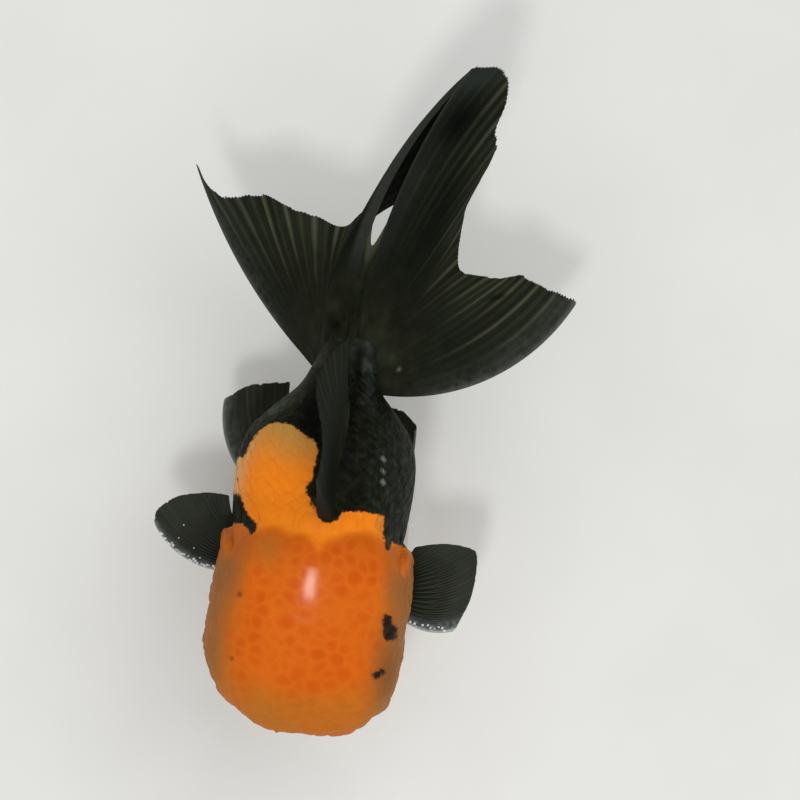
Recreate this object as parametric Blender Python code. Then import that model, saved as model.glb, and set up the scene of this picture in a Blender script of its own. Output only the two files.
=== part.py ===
"""A fancy goldfish, a red-capped black oranda, as a still, life-size model on a plain display stand.

The flesh is one closed surface: rings around a lengthwise axis, with the rounded growths of the wen
raised on the head. Boxes part it into named pieces with thin cuts. Each fin is a fan of rays, joined
into a thin solid and trimmed where it meets the flesh. X points to the fish's left, Y from the snout
towards the tail and Z up. The origin is under the rod, where the stand meets the floor, and the fish has
its own zero point on the axis near the nape, from which its lengths are measured.
"""

import math

import bpy
from mathutils import Vector

# Lengths below are in millimetres and angles in degrees; mesh_object turns them into metres.
METRES = 0.001

# The whole fish
BODY_LENGTH = 112.0
SNOUT_Y = -46.5
FISH_PLACE = Vector((0.9, -4.7, 70.0))
RINGS = 31
AROUND = 40

# The stand
BASE_LENGTH = 100.0
BASE_WIDTH = 52.0
BASE_THICKNESS = 8.0
BASE_BEVEL = 1.2
BASE_SIDES = 44
ROD_RADIUS = 2.5
ROD_DEPTH_IN_BELLY = 5.0
COLLAR_RADIUS = 6.5
COLLAR_HEIGHT = 3.0
ROUND_SIDES = 24

# Clearances
CUT = 0.3
ROOT_CLEARANCE = 0.3

# How the flesh changes along the body, as (share of the length from the snout, millimetres)
HALF_WIDTH = ((0.0, 24.0), (0.1, 24.2), (0.2, 24.7), (0.3, 25.0), (0.4, 24.3), (0.5, 24.0), (0.6, 24.6),
              (0.67, 24.2), (0.73, 22.0), (0.79, 16.6), (0.84, 11.6), (0.89, 9.6), (0.95, 8.6), (1.0, 8.4))
HEIGHT_ABOVE = ((0.0, 19.0), (0.1, 22.0), (0.2, 24.4), (0.3, 26.0), (0.4, 27.2), (0.5, 28.6), (0.58, 29.4),
                (0.66, 28.2), (0.74, 23.6), (0.8, 18.6), (0.86, 13.8), (0.92, 10.8), (1.0, 9.2))
DEPTH_BELOW = ((0.0, 17.0), (0.1, 20.5), (0.2, 24.2), (0.3, 27.4), (0.4, 30.4), (0.5, 32.4), (0.59, 33.0),
               (0.67, 31.2), (0.75, 26.0), (0.81, 20.4), (0.87, 14.8), (0.93, 10.8), (1.0, 9.0))
ROUNDNESS = ((0.0, 2.2), (0.3, 2.45), (0.55, 2.15), (0.8, 2.0), (1.0, 2.0))
SIDEWAYS_BEND = ((0.0, 0.4), (0.07, -0.8), (0.15, -2.0), (0.25, -2.2), (0.33, -1.5), (0.42, -1.1),
                 (0.5, -1.4), (0.6, -1.1), (0.7, -0.8), (0.78, 0.0), (0.86, 0.8), (1.0, 2.6))
RING_PLACES = ((0.0, 0.0), (0.1, 0.014), (0.2, 0.06), (0.4, 0.2), (0.88, 0.94), (1.0, 1.0))
NOSE_SHARE = 0.2
NOSE_BLUNTNESS = 2.4
END_SHARE = 0.07
END_BLUNTNESS = 2.0

# The growths of the wen: centre from the axis (sideways, Y, height), reach along X, Y and Z, thickness, and
# the sides that have it.
WEN = (
    ((9.0, -18.0, 20.0), (19.0, 26.5, 19.0), 3.2, (1, -1)),
    ((24.0, -29.5, -5.0), (13.0, 15.5, 15.0), 2.9, (1, -1)),
    ((24.0, -22.0, -5.0), (10.0, 9.0, 13.0), 2.6, (-1,)),
    ((24.0, -5.5, -2.0), (12.0, 12.5, 15.0), 2.6, (1, -1)),
    ((9.5, -41.0, 8.0), (10.5, 9.0, 9.0), 1.9, (1, -1)),
    ((9.0, -40.0, -12.0), (9.0, 9.0, 7.0), 1.8, (1, -1)),
    ((0.0, -45.0, -3.0), (7.0, 6.0, 4.5), 1.3, (1,)),
)
WEN_JOIN = 4.0

# The eyes
EYE_RADIUS = 4.4
EYE_PLACES = {"left": (18.5, -30.5, 3.0), "right": (-22.3, -30.5, 3.0)}
EYE_CLEARANCE = 0.35
ORBIT_RADIUS = 4.6
ORBIT_SLOPE = 3.0
EYE_SEGMENTS = 16

# The cuts that part the flesh. The breast reaches forward under the gill covers.
NAPE_Y = 6.5
NAPE_Z = -6.0
BREAST_Y = -9.5
BREAST_Z = -45.0
PEDUNCLE_Y = 45.0
HOOD_Z = 9.4
SNOUT_END_Y = -38.0
GILL_Y = -13.5
CHEEK_X = 13.0
FAR = 90.0

# A fin is a row of guide rays, from its leading edge on. Each is its root from the axis (X, Y, Z), its
# length, its heading at the root and tip (0 is straight back, 90 the fish's left) and its rise at both.
TAIL_LOWER_LEFT = (
    ((8.2, 47.2, -6.0), 71.4, 96, 25, -28, 10),
    ((9.0, 50.5, -4.5), 58.7, 77, 35, -33, 14),
    ((9.3, 54.0, -2.5), 50.9, 63, 37, -31, 14),
    ((9.4, 57.5, -0.5), 39.5, 45, 55, -30, 13),
    ((9.0, 61.0, 1.0), 31.3, 39, 47, -18, 11),
)
TAIL_UPPER_LEFT = (
    ((9.0, 61.0, 1.6), 31.6, 39, 43, -16, 10),
    ((8.5, 62.0, 3.0), 42.2, 38, 24, 3, 3),
    ((7.6, 62.5, 4.4), 53.6, 32, 24, 16, -6),
    ((6.8, 63.0, 5.8), 68.6, 20, 32, 22, -10),
    ((5.6, 63.5, 7.0), 82.7, 10, 37, 25, -11),
    ((3.8, 63.5, 8.4), 80.7, 4, 31, 28, -11),
)
TAIL_LOWER_RIGHT = (
    ((-6.5, 52.0, -6.0), 71.8, -51, -22, -30, 20),
    ((-6.5, 55.0, -4.0), 55.2, -37, -35, -30, 13),
    ((-6.0, 58.0, -2.0), 47.1, -32, -21, -23, 8),
    ((-5.4, 60.5, -0.5), 36.8, -20, -10, -23, 12),
    ((-5.0, 62.0, 1.0), 30.3, -7, 11, -11, 4),
)
TAIL_UPPER_RIGHT = (
    ((-5.0, 62.0, 1.6), 30.4, -3, 8, -11, 9),
    ((-4.7, 63.0, 3.0), 35.4, -7, 32, 2, -7),
    ((-4.2, 63.5, 4.4), 44.3, -14, 63, 13, -17),
    ((-3.4, 64.0, 5.8), 63.0, -10, 64, 19, -19),
    ((-2.2, 64.0, 7.0), 81.0, -0, 43, 20, -16),
    ((1.1, 64.0, 8.4), 77.9, 0, 39, 23, -16),
)
DORSAL = (
    ((0.9, 11.5, 26.5), 23.0, -14, -16, 72, 46),
    ((2.0, 20.0, 27.0), 28.0, -15, -16, 68, 36),
    ((2.8, 29.0, 25.5), 28.5, -20, -18, 60, 24),
    ((3.2, 37.0, 22.0), 25.0, -17, -12, 48, 14),
    ((3.2, 44.0, 17.0), 19.0, -6, -2, 34, 6),
)
PECTORAL_LEFT = (
    ((19.0, -9.5, -12.0), 23.7, 150, 69, -7, -8),
    ((19.3, -8.0, -12.8), 25.6, 133, 50, -8, -6),
    ((19.5, -6.5, -13.4), 26.4, 105, 45, -11, -4),
    ((19.6, -5.0, -14.0), 26.1, 77, 51, -11, -4),
    ((19.6, -3.5, -14.6), 19.2, 64, 47, -18, -5),
    ((19.5, -2.0, -15.2), 10.7, 55, 27, -36, -12),
)
PECTORAL_RIGHT = (
    ((-19.0, -5.0, -12.0), 33.7, -113, -31, -13, -1),
    ((-19.3, -3.6, -12.8), 32.6, -97, -37, -16, 3),
    ((-19.5, -2.2, -13.4), 28.9, -81, -35, -22, 8),
    ((-19.6, -0.8, -14.0), 23.3, -67, -27, -25, 5),
    ((-19.6, 0.6, -14.6), 17.5, -56, -8, -31, 4),
)
PELVIC_LEFT = (
    ((9.5, 12.0, -28.0), 32.2, 64, -11, -30, 12),
    ((8.5, 14.5, -28.8), 32.0, 51, 2, -36, 13),
    ((7.5, 16.5, -29.2), 31.2, 32, 8, -44, 10),
    ((6.5, 18.5, -29.4), 30.5, 18, 8, -55, 8),
)
PELVIC_RIGHT = (
    ((-9.5, 12.0, -28.0), 42.1, -83, 6, -6, -2),
    ((-8.5, 14.5, -28.8), 39.1, -66, 1, -17, 2),
    ((-7.5, 16.5, -29.2), 36.7, -52, 0, -29, 1),
    ((-6.5, 18.5, -29.4), 34.3, -35, 1, -39, -1),
)
ANAL = (
    ((3.6, 36.5, -22.0), 24.0, 14, 6, -50, -22),
    ((3.6, 39.5, -20.0), 22.0, 12, 6, -44, -20),
    ((3.4, 42.5, -17.5), 17.0, 10, 4, -36, -16),
)
MIRROR_HEADING = -1

FIN_STEP = 8.0
FIN_ROWS_LEAST = 7
FIN_ALONG = 8
ROOT_THICKNESS = 1.1
EDGE_THICKNESS = 0.6
RIPPLE_START = 0.35

# Colours: linear red, green, blue, roughness, metallic
COLOURS = {
    "wen": ((0.74, 0.17, 0.025), 0.42, 0.0),
    "flank": ((0.035, 0.036, 0.032), 0.38, 0.0),
    "fin": ((0.03, 0.032, 0.024), 0.45, 0.0),
    "eye": ((0.01, 0.01, 0.01), 0.08, 0.0),
    "stand": ((0.72, 0.70, 0.66), 0.4, 0.0),
    "rod": ((0.62, 0.62, 0.60), 0.28, 1.0),
}


def clear_scene():
    for thing in list(bpy.data.objects):
        bpy.data.objects.remove(thing, do_unlink=True)


def material(name):
    """The Principled material of that name, made once."""
    made = bpy.data.materials.get(name)
    if made:
        return made
    colour, roughness, metallic = COLOURS[name]
    made = bpy.data.materials.new(name)
    made.use_nodes = True
    shader = made.node_tree.nodes["Principled BSDF"]
    shader.inputs["Base Color"].default_value = (*colour, 1.0)
    shader.inputs["Roughness"].default_value = roughness
    shader.inputs["Metallic"].default_value = metallic
    return made


def mesh_object(name, points, faces, finish=None):
    """An object made from points in millimetres. One with no finish is a cutter and stays out of the model."""
    mesh = bpy.data.meshes.new(name)
    mesh.from_pydata([Vector(p) * METRES for p in points], [], faces)
    mesh.shade_smooth()
    mesh.validate()
    made = bpy.data.objects.new(name, mesh)
    bpy.context.scene.collection.objects.link(made)
    if finish:
        mesh.materials.append(material(finish))
    else:
        made.hide_render = True
        made.display_type = "WIRE"
    return made


def boolean(thing, operation, other):
    modifier = thing.modifiers.new(operation.lower(), "BOOLEAN")
    modifier.operation = operation
    modifier.solver = "EXACT"
    modifier.object = other
    return modifier


def along(stations, share):
    """The value at share on a smooth curve through (share, value) stations."""
    last = len(stations) - 1
    if share <= stations[0][0]:
        return stations[0][1]
    if share >= stations[last][0]:
        return stations[last][1]
    i = max(k for k in range(last) if stations[k][0] <= share)

    def slope(k):
        before, after = stations[max(k - 1, 0)], stations[min(k + 1, last)]
        return (after[1] - before[1]) / (after[0] - before[0])

    (s0, a), (s1, b) = stations[i], stations[i + 1]
    gap = s1 - s0
    x = (share - s0) / gap
    return (
        a * (1 + 2 * x) * (1 - x) ** 2
        + slope(i) * gap * x * (1 - x) ** 2
        + b * x * x * (3 - 2 * x)
        - slope(i + 1) * gap * x * x * (1 - x)
    )


def rounding(share, bluntness):
    """Rises from 0 to 1 along a rounded end as share does."""
    share = min(max(share, 0.0), 1.0)
    return (1 - (1 - share) ** bluntness) ** (1 / bluntness)


def signed_power(value, power):
    return math.copysign(abs(value) ** power, value)


def flesh_point(share, angle):
    """A point on the plain body, with no wen, measured from the axis. Angle 0 is the fish's left, 90 its back."""
    ends = rounding(share / NOSE_SHARE, NOSE_BLUNTNESS) * rounding((1 - share) / END_SHARE, END_BLUNTNESS)
    power = 2 / along(ROUNDNESS, share)
    across = signed_power(math.cos(angle), power)
    up = signed_power(math.sin(angle), power)
    height = along(HEIGHT_ABOVE if up > 0 else DEPTH_BELOW, share)
    return Vector((
        along(SIDEWAYS_BEND, share) + ends * along(HALF_WIDTH, share) * across,
        SNOUT_Y + BODY_LENGTH * share,
        ends * height * up,
    ))


def flesh_normal(share, angle):
    """The outward direction on the plain body."""
    step = 0.004
    share = min(max(share, step), 1 - step)
    lengthwise = flesh_point(share + step, angle) - flesh_point(share - step, angle)
    around = flesh_point(share, angle + step) - flesh_point(share, angle - step)
    return lengthwise.cross(around).normalized()


def orbit(point):
    """0 around an eye, where the wen leaves the flesh bare, rising to 1 away from it."""
    away = min((point - Vector(place)).length for place in EYE_PLACES.values())
    rise = min(max((away - ORBIT_RADIUS) / ORBIT_SLOPE, 0.0), 1.0)
    return rise * rise * (3 - 2 * rise)


def wen_thickness(point):
    """How far the wen stands off the plain body there: a soft union of rounded pillows."""
    total = 0.0
    for (x, y, z), reach, thickness, sides in WEN:
        for side in sides:
            away = point - Vector((side * x, y, z))
            distance = math.sqrt(sum((away[i] / reach[i]) ** 2 for i in range(3)))
            if distance < 1:
                total += (thickness * (1 - distance**4) ** 0.5) ** WEN_JOIN
    return orbit(point) * total ** (1 / WEN_JOIN)


def skin_point(share, angle, proud=0.0):
    """A point on the finished skin, in the model's frame, standing proud of it by that much."""
    point = flesh_point(share, angle)
    point += flesh_normal(share, angle) * (wen_thickness(point) + proud)
    return point + FISH_PLACE


def flesh_object(name, finish=None, proud=0.0):
    """The whole body as one closed mesh of rings, closer together at both ends."""
    shares = [along(RING_PLACES, i / (RINGS + 1)) for i in range(1, RINGS + 1)]
    points = [skin_point(0.0, 0.0) + Vector((0, -proud, 0))]
    for share in shares:
        points += [skin_point(share, math.tau * k / AROUND, proud) for k in range(AROUND)]
    points.append(skin_point(1.0, 0.0) + Vector((0, proud, 0)))
    end = len(points) - 1
    faces = []
    for k in range(AROUND):
        after = (k + 1) % AROUND
        faces.append((0, 1 + k, 1 + after))
        for ring in range(RINGS - 1):
            here, there = 1 + ring * AROUND, 1 + (ring + 1) * AROUND
            faces.append((here + k, there + k, there + after))
            faces.append((here + k, there + after, here + after))
        last = 1 + (RINGS - 1) * AROUND
        faces.append((last + k, end, last + after))
    return mesh_object(name, points, faces, finish)


def slab_cutter(name, across, outline):
    """A slab between two sideways places, with its outline seen from the fish's left as (Y, Z) points."""
    count = len(outline)
    points = [Vector((x, y, z)) + FISH_PLACE for x in across for y, z in outline]
    faces = [tuple(reversed(range(count))), tuple(range(count, 2 * count))]
    for k in range(count):
        after = (k + 1) % count
        faces.append((k, after, count + after, count + k))
    return mesh_object(name, points, faces)


def block(lengthwise, height):
    """A plain block's side outline."""
    (y0, y1), (z0, z1) = lengthwise, height
    return ((y0, z0), (y1, z0), (y1, z1), (y0, z1))


def ball(name, centre, radius, finish=None):
    """A ball of longitude and latitude faces, its poles along X."""
    rings = EYE_SEGMENTS // 2
    points = [Vector(centre) - Vector((radius, 0, 0))]
    for i in range(1, rings):
        tilt = math.pi * i / rings
        for k in range(EYE_SEGMENTS):
            turn = math.tau * k / EYE_SEGMENTS
            spoke = Vector((-math.cos(tilt), math.sin(tilt) * math.cos(turn), math.sin(tilt) * math.sin(turn)))
            points.append(Vector(centre) + spoke * radius)
    points.append(Vector(centre) + Vector((radius, 0, 0)))
    last = len(points) - 1
    faces = []
    for k in range(EYE_SEGMENTS):
        after = (k + 1) % EYE_SEGMENTS
        faces.append((0, 1 + after, 1 + k))
        for i in range(rings - 2):
            here, there = 1 + i * EYE_SEGMENTS, 1 + (i + 1) * EYE_SEGMENTS
            faces.append((here + k, here + after, there + after, there + k))
        here = 1 + (rings - 2) * EYE_SEGMENTS
        faces.append((here + k, here + after, last))
    return mesh_object(name, points, faces, finish)


def make_flesh():
    """The body parted into its named pieces by slabs a thin cut apart."""
    half = CUT / 2
    sockets = {}
    for label, place in EYE_PLACES.items():
        centre = Vector(place) + FISH_PLACE
        sockets[label] = ball(f"socket_cutter_{label}", centre, EYE_RADIUS + EYE_CLEARANCE)
        ball(f"eye_{label}", centre, EYE_RADIUS, "eye")
    everywhere, core = (-FAR, FAR), (half - CHEEK_X, CHEEK_X - half)
    left, right = (CHEEK_X + half, FAR), (-FAR, -CHEEK_X - half)
    hood_low, face_top = HOOD_Z + half, HOOD_Z - half
    snout_end, face_start = SNOUT_END_Y - half, SNOUT_END_Y + half
    cheek = block((face_start, GILL_Y - half), (-FAR, face_top))

    def before_breast(front):
        """Forward of the slanted line under the gill covers, back from that Y."""
        nape, breast = NAPE_Y - half, BREAST_Y - half
        return ((front, -FAR), (breast, -FAR), (breast, BREAST_Z), (nape, NAPE_Z), (nape, face_top), (front, face_top))

    nape, breast, tail = NAPE_Y + half, BREAST_Y + half, PEDUNCLE_Y - half
    trunk = ((breast, -FAR), (tail, -FAR), (tail, FAR), (nape, FAR), (nape, NAPE_Z), (breast, BREAST_Z))
    pieces = {
        "hood": (everywhere, block((-FAR, NAPE_Y - half), (hood_low, FAR)), "wen"),
        "snout": (everywhere, block((-FAR, snout_end), (-FAR, face_top)), "wen"),
        "head": (core, before_breast(face_start), "wen"),
        "cheek_left": (left, cheek, "wen"),
        "cheek_right": (right, cheek, "wen"),
        "gill_cover_left": (left, before_breast(GILL_Y + half), "wen"),
        "gill_cover_right": (right, before_breast(GILL_Y + half), "wen"),
        "trunk": (everywhere, trunk, "flank"),
        "peduncle": (everywhere, block((PEDUNCLE_Y + half, FAR), everywhere), "flank"),
    }
    for name, (across, outline, finish) in pieces.items():
        piece = flesh_object(name, finish)
        boolean(piece, "INTERSECT", slab_cutter(f"{name}_cutter", across, outline))
        for label, socket in sockets.items():
            if name == f"cheek_{label}":
                boolean(piece, "DIFFERENCE", socket)
        if name == "trunk":
            boolean(piece, "DIFFERENCE", rod("rod_hole_cutter", ROD_RADIUS + CUT, ROD_DEPTH_IN_BELLY + CUT))


def ray_points(ray, steps):
    """Points along one ray, which turns evenly from its root to its tip."""
    root, length, heading, heading_tip, rise, rise_tip = ray
    point = Vector(root) + FISH_PLACE
    points = [point.copy()]
    for i in range(steps):
        middle = (i + 0.5) / steps
        turn = math.radians(heading + (heading_tip - heading) * middle)
        climb = math.radians(rise + (rise_tip - rise) * middle)
        way = Vector((math.sin(turn) * math.cos(climb), math.cos(turn) * math.cos(climb), math.sin(climb)))
        point = point + way * (length / steps)
        points.append(point.copy())
    return points


def between(guide_rows, share):
    """The row of points at share of the way from the first guide ray to the last."""
    last = len(guide_rows) - 1

    def point(j):
        return Vector([along([(i / last, row[j][k]) for i, row in enumerate(guide_rows)], share) for k in range(3)])

    return [point(j) for j in range(len(guide_rows[0]))]


def fin_grid(guides, ripple, ripples):
    """Rows of points, one per ray. The sheet ripples more and more towards its free edge."""
    longest = max(guide[1] for guide in guides)
    across = max(FIN_ROWS_LEAST, round(longest / FIN_STEP) + 2)
    guide_rows = [ray_points(guide, FIN_ALONG) for guide in guides]
    rows = [between(guide_rows, i / across) for i in range(across + 1)]
    waved = []
    for i, row in enumerate(rows):
        swing = ripple * math.sin(math.tau * ripples * i / across)
        new_row = []
        for j, point in enumerate(row):
            reach = max(0.0, (j / FIN_ALONG - RIPPLE_START) / (1 - RIPPLE_START))
            new_row.append(point + sheet_normal(rows, i, j) * swing * reach**1.5)
        waved.append(new_row)
    return waved


def sheet_normal(rows, i, j):
    """The sheet's normal at one point of its grid."""
    across = rows[min(i + 1, len(rows) - 1)][j] - rows[max(i - 1, 0)][j]
    lengthwise = rows[i][min(j + 1, len(rows[i]) - 1)] - rows[i][max(j - 1, 0)]
    return across.cross(lengthwise).normalized()


def fin(name, guides, ripple=0.0, ripples=2.0, trim_first=0.0):
    """A thin closed fin, trimmed clear of the flesh. trim_first pulls its first ray in from a neighbour's last."""
    rows = fin_grid(guides, ripple, ripples)
    if trim_first:
        rows[0] = [a + (b - a).normalized() * trim_first for a, b in zip(rows[0], rows[1])]
    wide, long = len(rows), len(rows[0])
    points = []
    for side in (1, -1):
        for i in range(wide):
            for j in range(long):
                thick = ROOT_THICKNESS + (EDGE_THICKNESS - ROOT_THICKNESS) * j / (long - 1)
                points.append(rows[i][j] + sheet_normal(rows, i, j) * side * thick / 2)
    under = wide * long

    def index(i, j):
        return i * long + j

    faces = []
    for i in range(wide - 1):
        for j in range(long - 1):
            quad = (index(i, j), index(i + 1, j), index(i + 1, j + 1), index(i, j + 1))
            faces.append(quad)
            faces.append(tuple(under + k for k in reversed(quad)))
    rim = (
        [index(i, 0) for i in range(wide)]
        + [index(wide - 1, j) for j in range(1, long)]
        + [index(i, long - 1) for i in range(wide - 2, -1, -1)]
        + [index(0, j) for j in range(long - 2, 0, -1)]
    )
    for here, after in zip(rim, rim[1:] + rim[:1]):
        faces.append((after, here, under + here, under + after))
    made = mesh_object(name, points, faces, "fin")
    boolean(made, "DIFFERENCE", bpy.data.objects["flesh_cutter"])
    return made


def mirrored(guides):
    """The same fin on the fish's other side."""
    return tuple(
        ((-x, y, z), length, MIRROR_HEADING * heading, MIRROR_HEADING * heading_tip, rise, rise_tip)
        for (x, y, z), length, heading, heading_tip, rise, rise_tip in guides
    )


def make_fins():
    flesh_object("flesh_cutter", proud=ROOT_CLEARANCE)
    fork_gap = EDGE_THICKNESS
    fin("tail_lower_left", TAIL_LOWER_LEFT, ripple=1.6, ripples=1.5)
    fin("tail_upper_left", TAIL_UPPER_LEFT, ripple=1.2, ripples=1.5, trim_first=fork_gap)
    fin("tail_lower_right", TAIL_LOWER_RIGHT, ripple=1.6, ripples=2.0)
    fin("tail_upper_right", TAIL_UPPER_RIGHT, ripple=0.8, ripples=1.0, trim_first=fork_gap)
    fin("dorsal_fin", DORSAL, ripple=1.0, ripples=1.5)
    fin("pectoral_fin_left", PECTORAL_LEFT, ripple=0.6)
    fin("pectoral_fin_right", PECTORAL_RIGHT, ripple=0.6)
    fin("pelvic_fin_left", PELVIC_LEFT, ripple=0.6)
    fin("pelvic_fin_right", PELVIC_RIGHT, ripple=0.6)
    fin("anal_fin_left", ANAL, ripple=0.4)
    fin("anal_fin_right", mirrored(ANAL), ripple=0.4)


def upright(name, outline, levels, finish=None):
    """A closed solid from one outline repeated at (height, scale) levels, bottom first."""
    count = len(outline)
    points = [(x * scale, y * scale, z) for z, scale in levels for x, y in outline]
    faces = [tuple(reversed(range(count)))]
    for level in range(len(levels) - 1):
        low, high = level * count, (level + 1) * count
        for k in range(count):
            after = (k + 1) % count
            faces.append((low + k, low + after, high + after, high + k))
    top = (len(levels) - 1) * count
    faces.append(tuple(range(top, top + count)))
    return mesh_object(name, points, faces, finish)


def oval(width, length, sides):
    return [
        (math.cos(math.tau * k / sides) * width / 2, math.sin(math.tau * k / sides) * length / 2)
        for k in range(sides)
    ]


def belly_height():
    """How high the belly's lowest line is over the floor, right above the stand's centre."""
    return skin_point((-FISH_PLACE.y - SNOUT_Y) / BODY_LENGTH, -math.pi / 2).z


def rod(name, radius, depth, finish=None):
    """The rod from just over the base to that depth in the belly."""
    levels = ((BASE_THICKNESS + CUT, 1.0), (belly_height() + depth, 1.0))
    return upright(name, oval(2 * radius, 2 * radius, ROUND_SIDES), levels, finish)


def make_stand():
    inset = 1 - 2 * BASE_BEVEL / BASE_WIDTH
    levels = (
        (0.0, inset),
        (BASE_BEVEL, 1.0),
        (BASE_THICKNESS - BASE_BEVEL, 1.0),
        (BASE_THICKNESS, inset),
    )
    base = upright("stand_base", oval(BASE_WIDTH, BASE_LENGTH, BASE_SIDES), levels, "stand")
    base.data.set_sharp_from_angle(angle=math.radians(30))
    made = rod("stand_rod", ROD_RADIUS, ROD_DEPTH_IN_BELLY, "rod")
    made.data.set_sharp_from_angle(angle=math.radians(30))
    hole = rod("collar_hole_cutter", ROD_RADIUS + CUT, 0.0)
    hole.location.z -= COLLAR_HEIGHT * METRES
    top = BASE_THICKNESS + CUT + COLLAR_HEIGHT
    collar_levels = ((BASE_THICKNESS + CUT, 1.0), (top - 1.0, 1.0), (top, 0.8))
    ring = oval(2 * COLLAR_RADIUS, 2 * COLLAR_RADIUS, ROUND_SIDES)
    collar = upright("stand_collar", ring, collar_levels, "rod")
    collar.data.set_sharp_from_angle(angle=math.radians(30))
    boolean(collar, "DIFFERENCE", hole)


clear_scene()
make_flesh()
make_fins()
make_stand()
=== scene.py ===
"""The looks of the display goldfish: a red-capped black oranda on its stand.

One skin covers the whole body, with the soft growths of the wen on the head. Scales lie over it as joined
meshes from the gill covers to the tail root. Each fin is a sheet of branching rays, and the eyes sit in open
sockets. Lengths are millimetres in the fish's own coordinates: X to its left, Y towards its tail and Z up,
from the axis near the nape. to_model turns them into the frame's metres.
"""

import itertools
import math

import bpy
import numpy as np
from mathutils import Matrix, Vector


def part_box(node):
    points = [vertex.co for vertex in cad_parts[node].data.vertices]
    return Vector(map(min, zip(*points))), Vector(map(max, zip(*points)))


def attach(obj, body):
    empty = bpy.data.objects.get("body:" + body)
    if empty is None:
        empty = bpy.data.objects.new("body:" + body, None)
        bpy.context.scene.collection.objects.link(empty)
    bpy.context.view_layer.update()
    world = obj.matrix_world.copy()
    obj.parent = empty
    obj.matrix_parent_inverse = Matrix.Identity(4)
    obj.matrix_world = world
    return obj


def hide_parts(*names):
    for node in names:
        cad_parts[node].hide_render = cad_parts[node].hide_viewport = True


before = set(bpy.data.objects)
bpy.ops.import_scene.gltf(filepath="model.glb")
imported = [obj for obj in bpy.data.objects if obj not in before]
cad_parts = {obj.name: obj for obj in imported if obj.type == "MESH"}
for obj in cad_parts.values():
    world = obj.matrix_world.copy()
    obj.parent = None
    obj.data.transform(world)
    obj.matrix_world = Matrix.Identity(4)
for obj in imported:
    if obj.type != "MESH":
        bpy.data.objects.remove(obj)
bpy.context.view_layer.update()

METRES = 0.001
TAU = math.tau

# The body's form, as in the solids: (share of the length from the snout, millimetres)
BODY_LENGTH = 112.0
SNOUT_Y = -46.5
HALF_WIDTH = ((0.0, 24.0), (0.1, 24.2), (0.2, 24.7), (0.3, 25.0), (0.4, 24.3), (0.5, 24.0), (0.6, 24.6),
              (0.67, 24.2), (0.73, 22.0), (0.79, 16.6), (0.84, 11.6), (0.89, 9.6), (0.95, 8.6), (1.0, 8.4))
HEIGHT_ABOVE = ((0.0, 19.0), (0.1, 22.0), (0.2, 24.4), (0.3, 26.0), (0.4, 27.2), (0.5, 28.6), (0.58, 29.4),
                (0.66, 28.2), (0.74, 23.6), (0.8, 18.6), (0.86, 13.8), (0.92, 10.8), (1.0, 9.2))
DEPTH_BELOW = ((0.0, 17.0), (0.1, 20.5), (0.2, 24.2), (0.3, 27.4), (0.4, 30.4), (0.5, 32.4), (0.59, 33.0),
               (0.67, 31.2), (0.75, 26.0), (0.81, 20.4), (0.87, 14.8), (0.93, 10.8), (1.0, 9.0))
ROUNDNESS = ((0.0, 2.2), (0.3, 2.45), (0.55, 2.15), (0.8, 2.0), (1.0, 2.0))
SIDEWAYS_BEND = ((0.0, 0.4), (0.07, -0.8), (0.15, -2.0), (0.25, -2.2), (0.33, -1.5), (0.42, -1.1),
                 (0.5, -1.4), (0.6, -1.1), (0.7, -0.8), (0.78, 0.0), (0.86, 0.8), (1.0, 2.6))
NOSE_SHARE, NOSE_BLUNTNESS = 0.2, 2.4
SKIN_END, END_SHARE, END_BLUNTNESS = 1.09, 0.26, 2.0  # the skin runs on between the lobes of the tail

# The wen's growths: centre, reach, thickness and the sides that have it
WEN = (
    ((9.0, -16.5, 20.0), (19.0, 29.3, 19.0), 3.2, (1, -1)),
    ((24.0, -29.5, -5.0), (13.0, 15.5, 15.0), 2.9, (1, -1)),
    ((24.0, -22.0, -5.0), (10.0, 9.0, 13.0), 2.6, (-1,)),
    ((24.0, -5.5, -2.0), (12.0, 12.5, 15.0), 2.6, (1, -1)),
    ((9.5, -41.0, 8.0), (10.5, 9.0, 9.0), 1.9, (1, -1)),
    ((9.0, -40.0, -12.0), (9.0, 9.0, 7.0), 1.8, (1, -1)),
    ((0.0, -45.0, -3.0), (7.0, 6.0, 4.5), 1.3, (1,)),
)
WEN_JOIN, WEN_EDGE = 4.0, 0.8
UNDERLAYS = (  # these fill the valleys between the growths on top and at the sides
    ((-1.0, -18.0, 18.0), (26.0, 30.0, 21.0), 2.2), ((16.0, -20.0, 10.0), (15.0, 24.0, 15.0), 2.6),
    ((-18.0, -20.0, 10.0), (15.0, 24.0, 15.0), 2.6), ((0.0, -35.0, 12.0), (24.0, 16.0, 16.0), 2.0),
)
EYE_PLACES = {"left": (18.5, -30.5, 3.0), "right": (-22.3, -30.5, 3.0)}
ORBIT_RADIUS, ORBIT_SLOPE = 4.6, 3.0

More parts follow.
